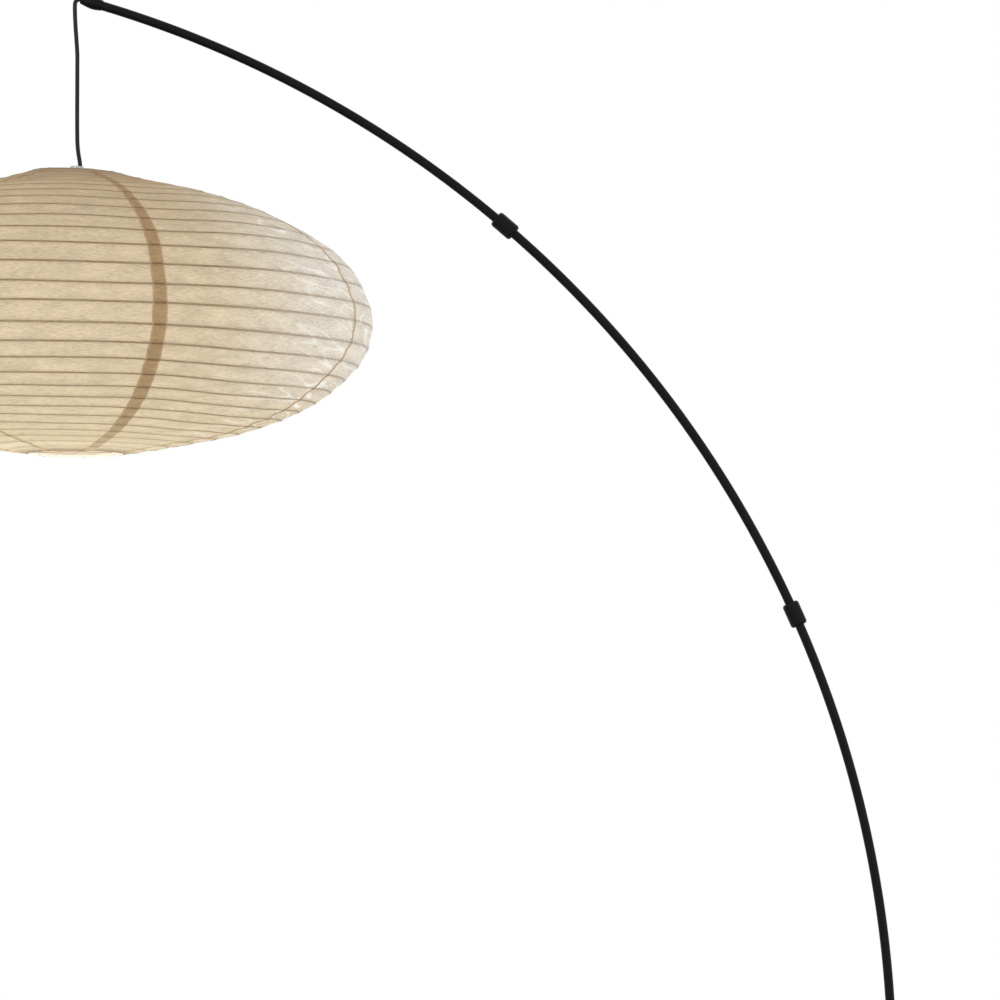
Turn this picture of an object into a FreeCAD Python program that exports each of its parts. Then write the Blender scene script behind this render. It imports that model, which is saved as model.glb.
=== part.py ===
import FreeCAD, Part
import math
import os
from types import SimpleNamespace

import Sketcher

# Paper lantern floor lamp, in millimetres, +Z up. The origin is the centre of the base's
# underside. The column stands on it, and the pole bends in the plane Y = 0 towards -X,
# where the lantern hangs from its tip on a cord.

SIZES = {
    # weighted base
    "pad_diameter": 300,
    "pad_thickness": 2,
    "base_diameter": 320,
    "base_thickness": 14,
    "base_chamfer": 3,
    "base_lower_chamfer": 1,
    "recess_diameter": 30,
    "recess_depth": 7,
    # bolt that holds the socket from below
    "bolt_diameter": 8,
    "bolt_length": 17,
    "bolt_head_diameter": 14,
    "bolt_head_face_diameter": 10,
    "bolt_head_height": 4.4,
    "bolt_hole_clearance": 0.5,
    "thread_clearance": 0.05,
    "washer_diameter": 24,
    "washer_thickness": 1.6,
    # socket that the column stands in
    "flange_diameter": 56,
    "flange_height": 5,
    "socket_diameter": 24,
    "socket_height": 60,
    "socket_chamfer": 2,
    "seat_height": 20,
    "cavity_diameter": 9,
    "cavity_height": 10,
    "inlet_height": 15,
    "inlet_diameter": 7,
    "grommet_bore": 6,
    "grommet_clearance": 0.05,
    "grommet_lip_diameter": 11,
    "grommet_lip_height": 1.8,
    "grommet_lip_chamfer": 0.6,
    # pole: four tubes in line, the upper three bent to one radius
    "tube_diameter": 12,
    "tube_wall": 1,
    "tube_clearance": 0.15,
    "column_length": 636,
    "tail_length": 33,
    "lower_arc_length": 603,
    "middle_arc_length": 636,
    "upper_arc_length": 618,
    "bend_radius": 1440,
    # sleeves over the tube joints
    "coupler_diameter": 22,
    "coupler_length": 32,
    "coupler_chamfer": 2.5,
    # cap on the pole's tip
    "cap_cover": 14,
    "cap_nose": 15,
    "cap_rear_diameter": 14,
    "cap_belly_diameter": 16.5,
    "cap_belly_place": 8,
    "cap_belly_length": 4.8,
    "cap_nose_diameter": 9.5,
    "cap_nose_chamfer": 0.8,
    "cap_nose_chamfer_length": 1.2,
    # cord
    "cord_diameter": 5.5,
    "cord_clearance": 0.15,
    "exit_depth": 3.4,
    "first_run": 6.1,
    "swivel_gap": 0.3,
    "hang_offset": 4.0,
    "hang_drop": 85.6,
    "drop_length": 176.3,
    # cord grip and lamp holder, stacked below the cord's end
    "grip_diameter": 12,
    "grip_height": 12,
    "grip_depth": 6,
    "grip_chamfer": 1.5,
    "holder_cap_height": 28,
    "holder_cap_shoulder": 16,
    "holder_cap_neck": 16,
    "holder_diameter": 38,
    "holder_wall": 2,
    "holder_height": 35.5,
    "holder_flange_diameter": 43,
    "holder_flange_height": 3,
    "holder_bore": 27,
    "holder_top": 5,
    "contact_height": 5,
    "contact_nub": 8,
    "contact_nub_height": 2,
    "contact_clearance": 0.3,
    "shade_ring_diameter": 48,
    "shade_ring_height": 7,
    "shade_ring_chamfer": 1,
    "ring_clearance": 0.2,
    # lamp
    "screw_cap_diameter": 26,
    "screw_cap_height": 24,
    "screw_cap_tip": 10,
    "screw_cap_shoulder": 3.3,
    "bulb_diameter": 60,
    "bulb_height": 81,
    "bulb_neck_diameter": 56.4,
    "bulb_neck_place": 10.2,
    # spreader that holds the lantern open
    "wire_diameter": 2.5,
    "leg_spacing": 100,
    "hub_diameter": 52,
    "hub_thickness": 1.5,
    "hub_clearance": 0.3,
    "weld_gap": 0.1,
    "eye_diameter": 24,
    "eye_bore": 18,
    "eye_height": 5.5,
    # paper lantern
    "lantern_diameter": 770,
    "lantern_rise": 199,
    "lantern_fall": 163,
    "lantern_roundness": 1.9,
    "top_rim_lift": 8.7,
    "bottom_rim_lift": 3.8,
    "lift_span": 90,
    "upper_panels": 14,
    "lower_panels": 14,
    "paper_thickness": 0.5,
    "gore_count": 7,
    "first_seam_angle": -74.2,
    "top_rim_diameter": 120,
    "bottom_rim_diameter": 124,
    "rim_width": 3,
    "rim_height": 3,
    "rim_gap": 0.1,
    "hook_gap": 0.2,
    "lantern_hang": 346.9,
}

# the bend of the cord below the tip cap, as the cord was found to lie: each point is
# (X, Z) from the middle of the cap's nose
BEND_POINTS = [
    (-7.5, -2.9),
    (-7.6, -12.3),
    (-7.0, -30.5),
    (-5.1, -55.2),
    (-4.0, -72.1),
]
# the hanging cord, as (X, Z) from the swivel point: straight where it carries the lantern,
# then bowed to one side where it passes the spreader's eye
DROP_POINTS = [
    (0.0, -88.0),
    (0.8, -111.3),
    (4.4, -130.8),
    (4.7, -145.1),
    (0.0, -163.3),
]
ARC_SHARE = 0.45  # share of the shorter run that an arc's tangent takes
FULL_TURN = 360


# --- sizes as values and as formulas ---------------------------------------------------


class Size:
    """A value together with the spreadsheet formula that it comes from."""

    def __init__(self, value, formula):
        self.value = value
        self.formula = formula

    def joined(self, other, sign, value):
        return Size(value, f"({self.formula} {sign} {other.formula})")

    def __add__(self, other):
        other = sized(other)
        return self.joined(other, "+", self.value + other.value)

    def __sub__(self, other):
        other = sized(other)
        return self.joined(other, "-", self.value - other.value)

    def __mul__(self, other):
        other = sized(other)
        return self.joined(other, "*", self.value * other.value)

    def __truediv__(self, other):
        other = sized(other)
        return self.joined(other, "/", self.value / other.value)

    def __neg__(self):
        return sized(0) - self


def sized(number):
    if isinstance(number, Size):
        return number
    return Size(float(number), repr(number))


def sine(angle):
    return Size(math.sin(math.radians(angle.value)), f"sin({angle.formula})")


def cosine(angle):
    return Size(math.cos(math.radians(angle.value)), f"cos({angle.formula})")


doc = FreeCAD.newDocument("PaperLanternFloorLamp")
sheet = doc.addObject("Spreadsheet::Sheet", "Sizes")
for row, (alias, number) in enumerate(SIZES.items(), start=1):
    sheet.set(f"A{row}", alias)
    sheet.set(f"B{row}", str(number))
    sheet.setAlias(f"B{row}", alias)
doc.recompute()
size = SimpleNamespace(
    **{alias: Size(number, f"Sizes.{alias}") for alias, number in SIZES.items()}
)

nodes = []


# --- ways of making a piece ------------------------------------------------------------


def bind(thing, name, amount):
    thing.setExpression(name, sized(amount).formula)


def place(thing, x=0, y=0, z=0):
    """Moves a piece to a point given by sizes."""
    thing.Placement = FreeCAD.Placement(
        FreeCAD.Vector(sized(x).value, sized(y).value, sized(z).value),
        thing.Placement.Rotation,
    )
    bind(thing, "Placement.Base.x", x)
    bind(thing, "Placement.Base.y", y)
    bind(thing, "Placement.Base.z", z)


def place_on_arc(thing, angle):
    """Sets a piece on the pole's centreline, its own +Z along the pole."""
    thing.Placement = FreeCAD.Placement(
        FreeCAD.Vector(), FreeCAD.Rotation(FreeCAD.Vector(0, -1, 0), angle.value)
    )
    bind(thing, "Placement.Rotation.Angle", angle)
    place(
        thing,
        x=size.bend_radius * cosine(angle) - size.bend_radius,
        z=bend_start + size.bend_radius * sine(angle),
    )


def body_named(name):
    body = doc.addObject("PartDesign::Body", name)
    body.Label = name
    nodes.append(body)
    return body


def plane_sketch(body, plane, name):
    sketch = body.newObject("Sketcher::SketchObject", name)
    origin_plane = [p for p in body.Origin.OriginFeatures if p.Role == plane][0]
    sketch.AttachmentSupport = [(origin_plane, "")]
    sketch.MapMode = "FlatFace"
    return sketch


def hold_point(sketch, line, end, x, y):
    """Fixes one end of a line at (x, y), each bound to its size."""
    for kind, axis, amount in (("DistanceX", -2, x), ("DistanceY", -1, y)):
        amount = sized(amount)
        if amount.value == 0:
            sketch.addConstraint(Sketcher.Constraint("PointOnObject", line, end, axis))
            continue
        index = sketch.addConstraint(Sketcher.Constraint(kind, -1, 1, line, end, amount.value))
        sketch.setExpression(f"Constraints[{index}]", amount.formula)


def outline_sketch(body, plane, points, name):
    """A closed outline of straight lines through points that are given by sizes."""
    sketch = plane_sketch(body, plane, name)
    corners = [FreeCAD.Vector(sized(x).value, sized(y).value, 0) for x, y in points]
    for here, there in zip(corners, corners[1:] + corners[:1]):
        sketch.addGeometry(Part.LineSegment(here, there), False)
    count = len(points)
    for line in range(count):
        following = (line + 1) % count
        sketch.addConstraint(Sketcher.Constraint("Coincident", line, 2, following, 1))
    for line, (x, y) in enumerate(points):
        hold_point(sketch, line, 1, x, y)
    return sketch


def turned(name, outline):
    """A piece turned about its own Z axis from half of its section, as (radius, height)."""
    body = body_named(name)
    sketch = outline_sketch(body, "XZ_Plane", outline, name + "_section")
    turn = body.newObject("PartDesign::Revolution", name + "_turn")
    turn.Profile = sketch
    turn.ReferenceAxis = (sketch, ["V_Axis"])
    turn.Angle = FULL_TURN
    return body


def ring_sketch(body, outer, inner, name):
    """Two circles about the body's origin, across its Z axis."""
    sketch = plane_sketch(body, "XY_Plane", name)
    for radius in (outer, inner):
        circle = Part.Circle(FreeCAD.Vector(), FreeCAD.Vector(0, 0, 1), radius.value)
        index = sketch.addGeometry(circle, False)
        sketch.addConstraint(Sketcher.Constraint("Coincident", index, 3, -1, 1))
        held = sketch.addConstraint(Sketcher.Constraint("Radius", index, radius.value))
        sketch.setExpression(f"Constraints[{held}]", radius.formula)
    return sketch


def straight_length(body, sketch, length, downward, name):
    pad = body.newObject("PartDesign::Pad", name)
    pad.Profile = sketch
    pad.Reversed = downward
    bind(pad, "Length", length)
    return pad


def bent_length(body, sketch, length, name):
    """Sweeps the sketch along the pole's bend by turning it about the bend's axis."""
    reach = 10
    there = FreeCAD.Vector(-size.bend_radius.value, reach, 0)
    back = FreeCAD.Vector(-size.bend_radius.value, -reach, 0)
    axis = sketch.addGeometry(Part.LineSegment(there, back), True)
    sketch.addConstraint(Sketcher.Constraint("Vertical", axis))
    sketch.addConstraint(Sketcher.Constraint("DistanceY", -1, 1, axis, 1, reach))
    sketch.addConstraint(Sketcher.Constraint("DistanceY", -1, 1, axis, 2, -reach))
    held = sketch.addConstraint(
        Sketcher.Constraint("DistanceX", -1, 1, axis, 1, -size.bend_radius.value)
    )
    sketch.setExpression(f"Constraints[{held}]", (-size.bend_radius).formula)
    bend = body.newObject("PartDesign::Revolution", name)
    bend.Profile = sketch
    bend.ReferenceAxis = (sketch, ["Axis0"])
    bind(bend, "Angle", bend_angle(length))
    return bend


def bend_angle(length):
    return length / size.bend_radius * sized(180) / sized(math.pi)


def rod(name, radius, length, x, z, sideways):
    """A straight wire that starts at (x, 0, z) and runs along +Z, or along X if sideways."""
    wire = doc.addObject("Part::Cylinder", name)
    bind(wire, "Radius", radius)
    bind(wire, "Height", length)
    if sideways:
        wire.Placement = FreeCAD.Placement(
            FreeCAD.Vector(), FreeCAD.Rotation(FreeCAD.Vector(0, 1, 0), 90)
        )
    place(wire, x=x, z=z)
    return wire


def fused(name, pieces):
    union = doc.addObject("Part::MultiFuse", name)
    union.Label = name
    union.Shapes = pieces
    nodes.append(union)
    return union


def rounded_route(points):
    """Straight runs joined by tangent arcs, each as large as its two runs allow."""
    edges = []
    start = points[0]
    radii = []
    for before, corner, after in zip(points, points[1:], points[2:]):
        back = (before - corner).normalize()
        ahead = (after - corner).normalize()
        half_turn = (math.pi - back.getAngle(ahead)) / 2
        shorter = min(before.distanceToPoint(corner), after.distanceToPoint(corner))
        radius = ARC_SHARE * shorter / math.tan(half_turn)
        middle = (back + ahead).normalize()
        centre_distance = radius / math.cos(half_turn)
        first = corner + back * (ARC_SHARE * shorter)
        last = corner + ahead * (ARC_SHARE * shorter)
        nearest = corner + middle * (centre_distance - radius)
        edges.append(Part.LineSegment(start, first).toShape())
        edges.append(Part.Arc(first, nearest, last).toShape())
        start = last
        radii.append(radius)
    edges.append(Part.LineSegment(start, points[-1]).toShape())
    return Part.Wire(edges), radii


def cord_along(points, name):
    """The solid of a cord along a route, with its radii and volume printed."""
    route, radii = rounded_route(points)
    radius = size.cord_diameter.value / 2
    ahead = (points[1] - points[0]).normalize()
    section = Part.Face(Part.Wire(Part.Circle(points[0], ahead, radius).toShape()))
    solid = route.makePipe(section)
    expected = math.pi * radius**2 * route.Length
    print(name, "radii", [round(r, 1) for r in radii], "length", round(route.Length, 1))
    print(name, "volume", round(solid.Volume, 1), "section times length", round(expected, 1))
    return solid


def shaped(name, shape):
    feature = doc.addObject("Part::Feature", name)
    feature.Label = name
    feature.Shape = shape
    nodes.append(feature)
    return feature


# --- heights and angles that several pieces share --------------------------------------

base_top = size.pad_thickness + size.base_thickness
seat = base_top + size.seat_height
bend_start = seat + size.column_length + size.tail_length
first_joint = bend_angle(size.lower_arc_length)
second_joint = first_joint + bend_angle(size.middle_arc_length)
tip = second_joint + bend_angle(size.upper_arc_length)
tube_radius = size.tube_diameter / 2
sleeve_bore = tube_radius + size.tube_clearance
cord_radius = size.cord_diameter / 2


# --- base ------------------------------------------------------------------------------


def base_pad():
    pad = turned(
        "base_pad",
        [
            (0, 0),
            (size.pad_diameter / 2, 0),
            (size.pad_diameter / 2, size.pad_thickness),
            (0, size.pad_thickness),
        ],
    )
    place(pad)


def base_disc():
    radius = size.base_diameter / 2
    hole = size.bolt_diameter / 2 + size.bolt_hole_clearance
    disc = turned(
        "base_disc",
        [
            (size.recess_diameter / 2, 0),
            (radius - size.base_lower_chamfer, 0),
            (radius, size.base_lower_chamfer),
            (radius, size.base_thickness - size.base_chamfer),
            (radius - size.base_chamfer, size.base_thickness),
            (hole, size.base_thickness),
            (hole, size.recess_depth),
            (size.recess_diameter / 2, size.recess_depth),
        ],
    )
    place(disc, z=size.pad_thickness)


def washer():
    hole = size.bolt_diameter / 2 + size.bolt_hole_clearance
    ring = turned(
        "base_washer",
        [
            (hole, -size.washer_thickness),
            (size.washer_diameter / 2, -size.washer_thickness),
            (size.washer_diameter / 2, 0),
            (hole, 0),
        ],
    )
    place(ring, z=size.pad_thickness + size.recess_depth)


def base_bolt():
    shank = size.bolt_diameter / 2 - size.thread_clearance
    head = size.bolt_head_diameter / 2
    bolt = turned(
        "base_bolt",
        [
            (0, -size.bolt_head_height),
            (size.bolt_head_face_diameter / 2, -size.bolt_head_height),
            (head, -size.bolt_head_height / 2),
            (head, 0),
            (shank, 0),
            (shank, size.bolt_length),
            (0, size.bolt_length),
        ],
    )
    place(bolt, z=size.pad_thickness + size.recess_depth - size.washer_thickness)


def base_socket():
    """Flanged socket: tapped foot, cavity with the lead's inlet, and seat for the column."""
    outer = size.socket_diameter / 2
    cavity = size.cavity_diameter / 2
    cavity_floor = size.seat_height - size.cavity_height
    body = turned(
        "base_socket",
        [
            (size.bolt_diameter / 2, 0),
            (size.flange_diameter / 2, 0),
            (size.flange_diameter / 2, size.flange_height - size.socket_chamfer / 2),
            (size.flange_diameter / 2 - size.socket_chamfer / 2, size.flange_height),
            (outer, size.flange_height),
            (outer, size.socket_height - size.socket_chamfer),
            (outer - size.socket_chamfer, size.socket_height),
            (sleeve_bore, size.socket_height),
            (sleeve_bore, size.seat_height),
            (cavity, size.seat_height),
            (cavity, cavity_floor),
            (size.bolt_diameter / 2, cavity_floor),
        ],
    )
    sketch = plane_sketch(body, "YZ_Plane", "base_socket_inlet")
    radius = size.inlet_diameter / 2
    centre = FreeCAD.Vector(0, size.inlet_height.value, 0)
    circle = Part.Circle(centre, FreeCAD.Vector(0, 0, 1), radius.value)
    sketch.addGeometry(circle, False)
    held = sketch.addConstraint(Sketcher.Constraint("Radius", 0, radius.value))
    sketch.setExpression(f"Constraints[{held}]", radius.formula)
    hold_point(sketch, 0, 3, 0, size.inlet_height)
    doc.recompute()
    before = body.Shape.Volume
    inlet = body.newObject("PartDesign::Pocket", "base_socket_bore")
    inlet.Profile = sketch
    inlet.Reversed = True
    bind(inlet, "Length", outer + size.socket_chamfer)
    doc.recompute()
    removed = before - body.Shape.Volume
    assert removed > 0, "the inlet must cut the socket's wall"
    print("socket inlet removes", round(removed, 1))
    place(body, z=base_top)


def inlet_grommet():
    """Rubber bush in the socket's inlet, on the side away from the lantern."""
    bore = size.grommet_bore / 2
    neck = size.inlet_diameter / 2 - size.grommet_clearance
    wall = size.socket_diameter / 2
    lip_start = wall + size.grommet_clearance
    lip_end = lip_start + size.grommet_lip_height
    lip_radius = size.grommet_lip_diameter / 2
    bush = turned(
        "inlet_grommet",
        [
            (bore, size.cavity_diameter / 2 + size.grommet_clearance),
            (neck, size.cavity_diameter / 2 + size.grommet_clearance),
            (neck, lip_start),
            (lip_radius, lip_start),
            (lip_radius, lip_end - size.grommet_lip_chamfer),
            (lip_radius - size.grommet_lip_chamfer, lip_end),
            (bore, lip_end),
        ],
    )
    bush.Placement = FreeCAD.Placement(
        FreeCAD.Vector(), FreeCAD.Rotation(FreeCAD.Vector(0, 1, 0), 90)
    )
    place(bush, z=base_top + size.inlet_height)


# --- pole ------------------------------------------------------------------------------


def tube_section(body, name):
    return ring_sketch(body, tube_radius, tube_radius - size.tube_wall, name)


def column_tube():
    body = body_named("column_tube")
    sketch = tube_section(body, "column_section")
    straight_length(body, sketch, size.column_length, False, "column_pad")
    place(body, z=seat)


def lower_arc_tube():
    """Starts with a straight tail inside the sleeve, then follows the bend."""
    body = body_named("lower_arc_tube")
    sketch = tube_section(body, "lower_arc_section")
    straight_length(body, sketch, size.tail_length, True, "lower_arc_tail")
    bent_length(body, sketch, size.lower_arc_length, "lower_arc_bend")
    place(body, z=bend_start)


def arc_tube(name, length, start):
    body = body_named(name)
    sketch = tube_section(body, name + "_section")
    bent_length(body, sketch, length, name + "_bend")
    place_on_arc(body, start)


def coupler(name):
    """Plain sleeve that hides a joint between two tubes, centred on its own origin."""
    half = size.coupler_length / 2
    outer = size.coupler_diameter / 2
    edge = size.coupler_chamfer
    return turned(
        name,
        [
            (sleeve_bore, -half),
            (outer - edge, -half),
            (outer, edge - half),
            (outer, half - edge),
            (outer - edge, half),
            (sleeve_bore, half),
        ],
    )


def tip_cap():
    """Turned cap over the last tube: a rear collar, a fuller belly and a tapered nose."""
    cord_bore = cord_radius + size.cord_clearance
    nose = size.cap_nose_diameter / 2
    belly = size.cap_belly_diameter / 2
    belly_start = size.cap_belly_place - size.cap_cover
    cap = turned(
        "tip_cap",
        [
            (sleeve_bore, -size.cap_cover),
            (size.cap_rear_diameter / 2, -size.cap_cover),
            (belly, belly_start),
            (belly, belly_start + size.cap_belly_length),
            (nose + size.cap_nose_chamfer, size.cap_nose - size.cap_nose_chamfer_length),
            (nose, size.cap_nose),
            (cord_bore, size.cap_nose),
            (cord_bore, 0),
            (sleeve_bore, 0),
        ],
    )
    place_on_arc(cap, tip)


# --- cord ------------------------------------------------------------------------------


def on_arc(angle, beyond):
    """The point on the pole's centreline at an angle, and a length past it along the tangent."""
    turn = math.radians(angle.value)
    radius = size.bend_radius.value
    return FreeCAD.Vector(
        radius * (math.cos(turn) - 1) - beyond * math.sin(turn),
        0,
        bend_start.value + radius * math.sin(turn) + beyond * math.cos(turn),
    )


def lying_at(origin, points):
    return [origin + FreeCAD.Vector(x, 0, z) for x, z in points]


nose_end = on_arc(tip, size.cap_nose.value)
cord_start = on_arc(tip, size.cap_nose.value - size.exit_depth.value)
swivel = nose_end + FreeCAD.Vector(-size.hang_offset.value, 0, -size.hang_drop.value)


def feed_cord():
    """The lead where the pole holds it, from the socket's cavity to the tip cap's bore."""
    start = FreeCAD.Vector(0, 0, seat.value - size.cavity_height.value / 2)
    bend = FreeCAD.Vector(0, 0, bend_start.value)
    arc = Part.Arc(bend, on_arc(Size(tip.value / 2, ""), 0), on_arc(tip, 0)).toShape()
    straight = Part.LineSegment(start, bend).toShape()
    last = Part.LineSegment(on_arc(tip, 0), cord_start).toShape()
    section = Part.Circle(start, FreeCAD.Vector(0, 0, 1), cord_radius.value).toShape()
    route = Part.Wire([straight, arc, last])
    shaped("feed_cord", route.makePipe(Part.Face(Part.Wire(section))))


def pendant_cord_bend():
    """Out of the nose, over and down to just above the swivel point."""
    first_corner = cord_start + (nose_end - cord_start).normalize() * size.first_run.value
    end = swivel + FreeCAD.Vector(0, 0, cord_radius.value + size.swivel_gap.value)
    points = [cord_start, first_corner] + lying_at(nose_end, BEND_POINTS) + [end]
    shaped("pendant_cord_bend", cord_along(points, "cord bend"))


def pendant_cord_drop():
    """From the swivel point, where its end is round, down into the cord grip."""
    points = [swivel] + lying_at(swivel, DROP_POINTS)
    points.append(swivel - FreeCAD.Vector(0, 0, size.drop_length.value))
    ball = Part.makeSphere(cord_radius.value, swivel)
    shaped("pendant_cord_drop", cord_along(points, "cord drop").fuse(ball).removeSplitter())


# --- lamp holder and lamp --------------------------------------------------------------

# heights below the swivel point, which every piece of the pendant hangs from
tip_x = size.bend_radius * cosine(tip) - size.bend_radius
tip_z = bend_start + size.bend_radius * sine(tip)
swivel_x = tip_x - size.cap_nose * sine(tip) - size.hang_offset
swivel_z = tip_z + size.cap_nose * cosine(tip) - size.hang_drop
grip_top = swivel_z - size.drop_length + size.grip_depth
holder_top = grip_top - size.grip_height
shell_top = holder_top - size.holder_cap_height
contact_top = shell_top - size.holder_top
lamp_tip = contact_top - size.contact_height - size.contact_nub_height
ring_bore = size.holder_diameter / 2 + size.ring_clearance


def hang(thing, z):
    place(thing, x=swivel_x, z=z)


def cord_grip():
    outer = size.grip_diameter / 2
    bore = cord_radius + size.cord_clearance
    grip = turned(
        "cord_grip",
        [
            (0, -size.grip_height),
            (outer, -size.grip_height),
            (outer, -size.grip_chamfer),
            (outer - size.grip_chamfer, 0),
            (bore, 0),
            (bore, -size.grip_depth),
            (0, -size.grip_depth),
        ],
    )
    hang(grip, grip_top)


def holder_cap():
    """Bell-shaped upper half of the lamp holder, open below."""
    neck = size.holder_cap_neck / 2
    outer = size.holder_diameter / 2
    wall = size.holder_wall
    cap = turned(
        "holder_cap",
        [
            (0, -wall),
            (neck - wall / 2, -wall),
            (outer - wall, -size.holder_cap_shoulder - wall / 2),
            (outer - wall, -size.holder_cap_height),
            (outer, -size.holder_cap_height),
            (outer, -size.holder_cap_shoulder),
            (neck, 0),
            (0, 0),
        ],
    )
    hang(cap, holder_top)


def holder_shell():
    """Lower half of the lamp holder: a cup with a flange that the spreader's hub sits under."""
    outer = size.holder_diameter / 2
    bore = size.holder_bore / 2
    shell = turned(
        "holder_shell",
        [
            (0, 0),
            (size.holder_flange_diameter / 2, 0),
            (size.holder_flange_diameter / 2, -size.holder_flange_height),
            (outer, -size.holder_flange_height),
            (outer, -size.holder_height),
            (bore, -size.holder_height),
            (bore, -size.holder_top),
            (0, -size.holder_top),
        ],
    )
    hang(shell, shell_top)


def holder_contact():
    outer = size.holder_bore / 2 - size.contact_clearance
    nub = size.contact_nub / 2
    contact = turned(
        "holder_contact",
        [
            (0, -size.contact_height - size.contact_nub_height),
            (nub, -size.contact_height - size.contact_nub_height),
            (nub, -size.contact_height),
            (outer, -size.contact_height),
            (outer, 0),
            (0, 0),
        ],
    )
    hang(contact, contact_top)


def shade_ring():
    """Threaded ring that clamps the hub against the flange."""
    outer = size.shade_ring_diameter / 2
    ring = turned(
        "shade_ring",
        [
            (ring_bore, -size.shade_ring_height),
            (outer - size.shade_ring_chamfer, -size.shade_ring_height),
            (outer, size.shade_ring_chamfer - size.shade_ring_height),
            (outer, 0),
            (ring_bore, 0),
        ],
    )
    hang(ring, hub_top - size.hub_thickness)


def bulb_screw_cap():
    radius = size.screw_cap_diameter / 2
    tip_radius = size.screw_cap_tip / 2
    cap = turned(
        "bulb_screw_cap",
        [
            (0, 0),
            (tip_radius, 0),
            (radius, -size.screw_cap_shoulder),
            (radius, -size.screw_cap_height),
            (0, -size.screw_cap_height),
        ],
    )
    hang(cap, lamp_tip)


def bulb_glass():
    """Pear-shaped bulb: a sphere with a neck that narrows to the screw cap."""
    ball = doc.addObject("Part::Sphere", "bulb_ball")
    bind(ball, "Radius", size.bulb_diameter / 2)
    neck = doc.addObject("Part::Cone", "bulb_neck")
    bind(neck, "Radius1", size.bulb_neck_diameter / 2)
    bind(neck, "Radius2", size.screw_cap_diameter / 2)
    bind(neck, "Height", size.bulb_height - size.bulb_diameter / 2 - size.bulb_neck_place)
    glass_top = lamp_tip - size.screw_cap_height
    ball_centre = glass_top - size.bulb_height + size.bulb_diameter / 2
    hang(ball, ball_centre)
    hang(neck, ball_centre + size.bulb_neck_place)
    fused("bulb_glass", [ball, neck])


# --- spreader --------------------------------------------------------------------------

hub_top = shell_top - size.holder_flange_height - size.weld_gap
hub_middle = hub_top - size.hub_thickness / 2
wire_radius = size.wire_diameter / 2
leg_radius = size.leg_spacing / 2


def spreader_hub():
    """Flat ring round the lamp holder, with an arm to each leg."""
    bore = ring_bore + size.hub_clearance
    outer = size.hub_diameter / 2
    half = size.hub_thickness / 2
    plate = doc.addObject("Part::Cylinder", "hub_plate")
    bind(plate, "Radius", outer)
    bind(plate, "Height", size.hub_thickness)
    hang(plate, hub_middle - half)
    hole = doc.addObject("Part::Cylinder", "hub_hole")
    bind(hole, "Radius", bore)
    bind(hole, "Height", size.hub_thickness)
    hang(hole, hub_middle - half)
    ring = doc.addObject("Part::Cut", "hub_ring")
    ring.Base = plate
    ring.Tool = hole
    reach = leg_radius - wire_radius - size.weld_gap - outer + size.hub_thickness
    inner_end = outer - size.hub_thickness
    left = rod("hub_arm_left", half, reach, swivel_x - inner_end - reach, hub_middle, True)
    right = rod("hub_arm_right", half, reach, swivel_x + inner_end, hub_middle, True)
    fused("spreader_hub", [ring, left, right])


def spreader_leg(name, side):
    """One upright wire with a stub under the top rim and one on the bottom rim."""
    foot = bottom_rim_z + size.rim_height / 2 + size.hook_gap + wire_radius
    hook = top_rim_z - size.rim_height / 2 - size.hook_gap - wire_radius
    head = top_rim_z + size.eye_height
    upper_stub = size.top_rim_diameter / 2 - leg_radius
    lower_stub = size.bottom_rim_diameter / 2 - leg_radius
    upright = rod(
        name + "_upright",
        wire_radius,
        head + wire_radius - foot + wire_radius,
        swivel_x + leg_radius * side,
        foot - wire_radius,
        False,
    )
    middle = swivel_x + leg_radius * side
    upper_start = middle - upper_stub if side < 0 else middle
    lower_start = middle - lower_stub if side < 0 else middle
    upper = rod(name + "_hook", wire_radius, upper_stub, upper_start, hook, True)
    lower = rod(name + "_foot", wire_radius, lower_stub, lower_start, foot, True)
    fused(name, [upright, upper, lower])


def spreader_crossbar():
    """Bar between the legs' heads, with the eye that the cord comes down through."""
    level = top_rim_z + size.eye_height
    outer = size.eye_diameter / 2
    plate = doc.addObject("Part::Cylinder", "eye_plate")
    bind(plate, "Radius", outer)
    bind(plate, "Height", size.wire_diameter)
    hang(plate, level - wire_radius)
    hole = doc.addObject("Part::Cylinder", "eye_hole")
    bind(hole, "Radius", size.eye_bore / 2)
    bind(hole, "Height", size.wire_diameter)
    hang(hole, level - wire_radius)
    ring = doc.addObject("Part::Cut", "eye_ring")
    ring.Base = plate
    ring.Tool = hole
    inner_end = outer - size.wire_diameter / 2
    reach = leg_radius - wire_radius - size.weld_gap - inner_end
    left = rod("crossbar_left", wire_radius, reach, swivel_x - inner_end - reach, level, True)
    right = rod("crossbar_right", wire_radius, reach, swivel_x + inner_end, level, True)
    fused("spreader_crossbar", [ring, left, right])


# --- paper lantern ---------------------------------------------------------------------

lantern_radius = size.lantern_diameter / 2
CURVE_STEPS = 4000


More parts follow.
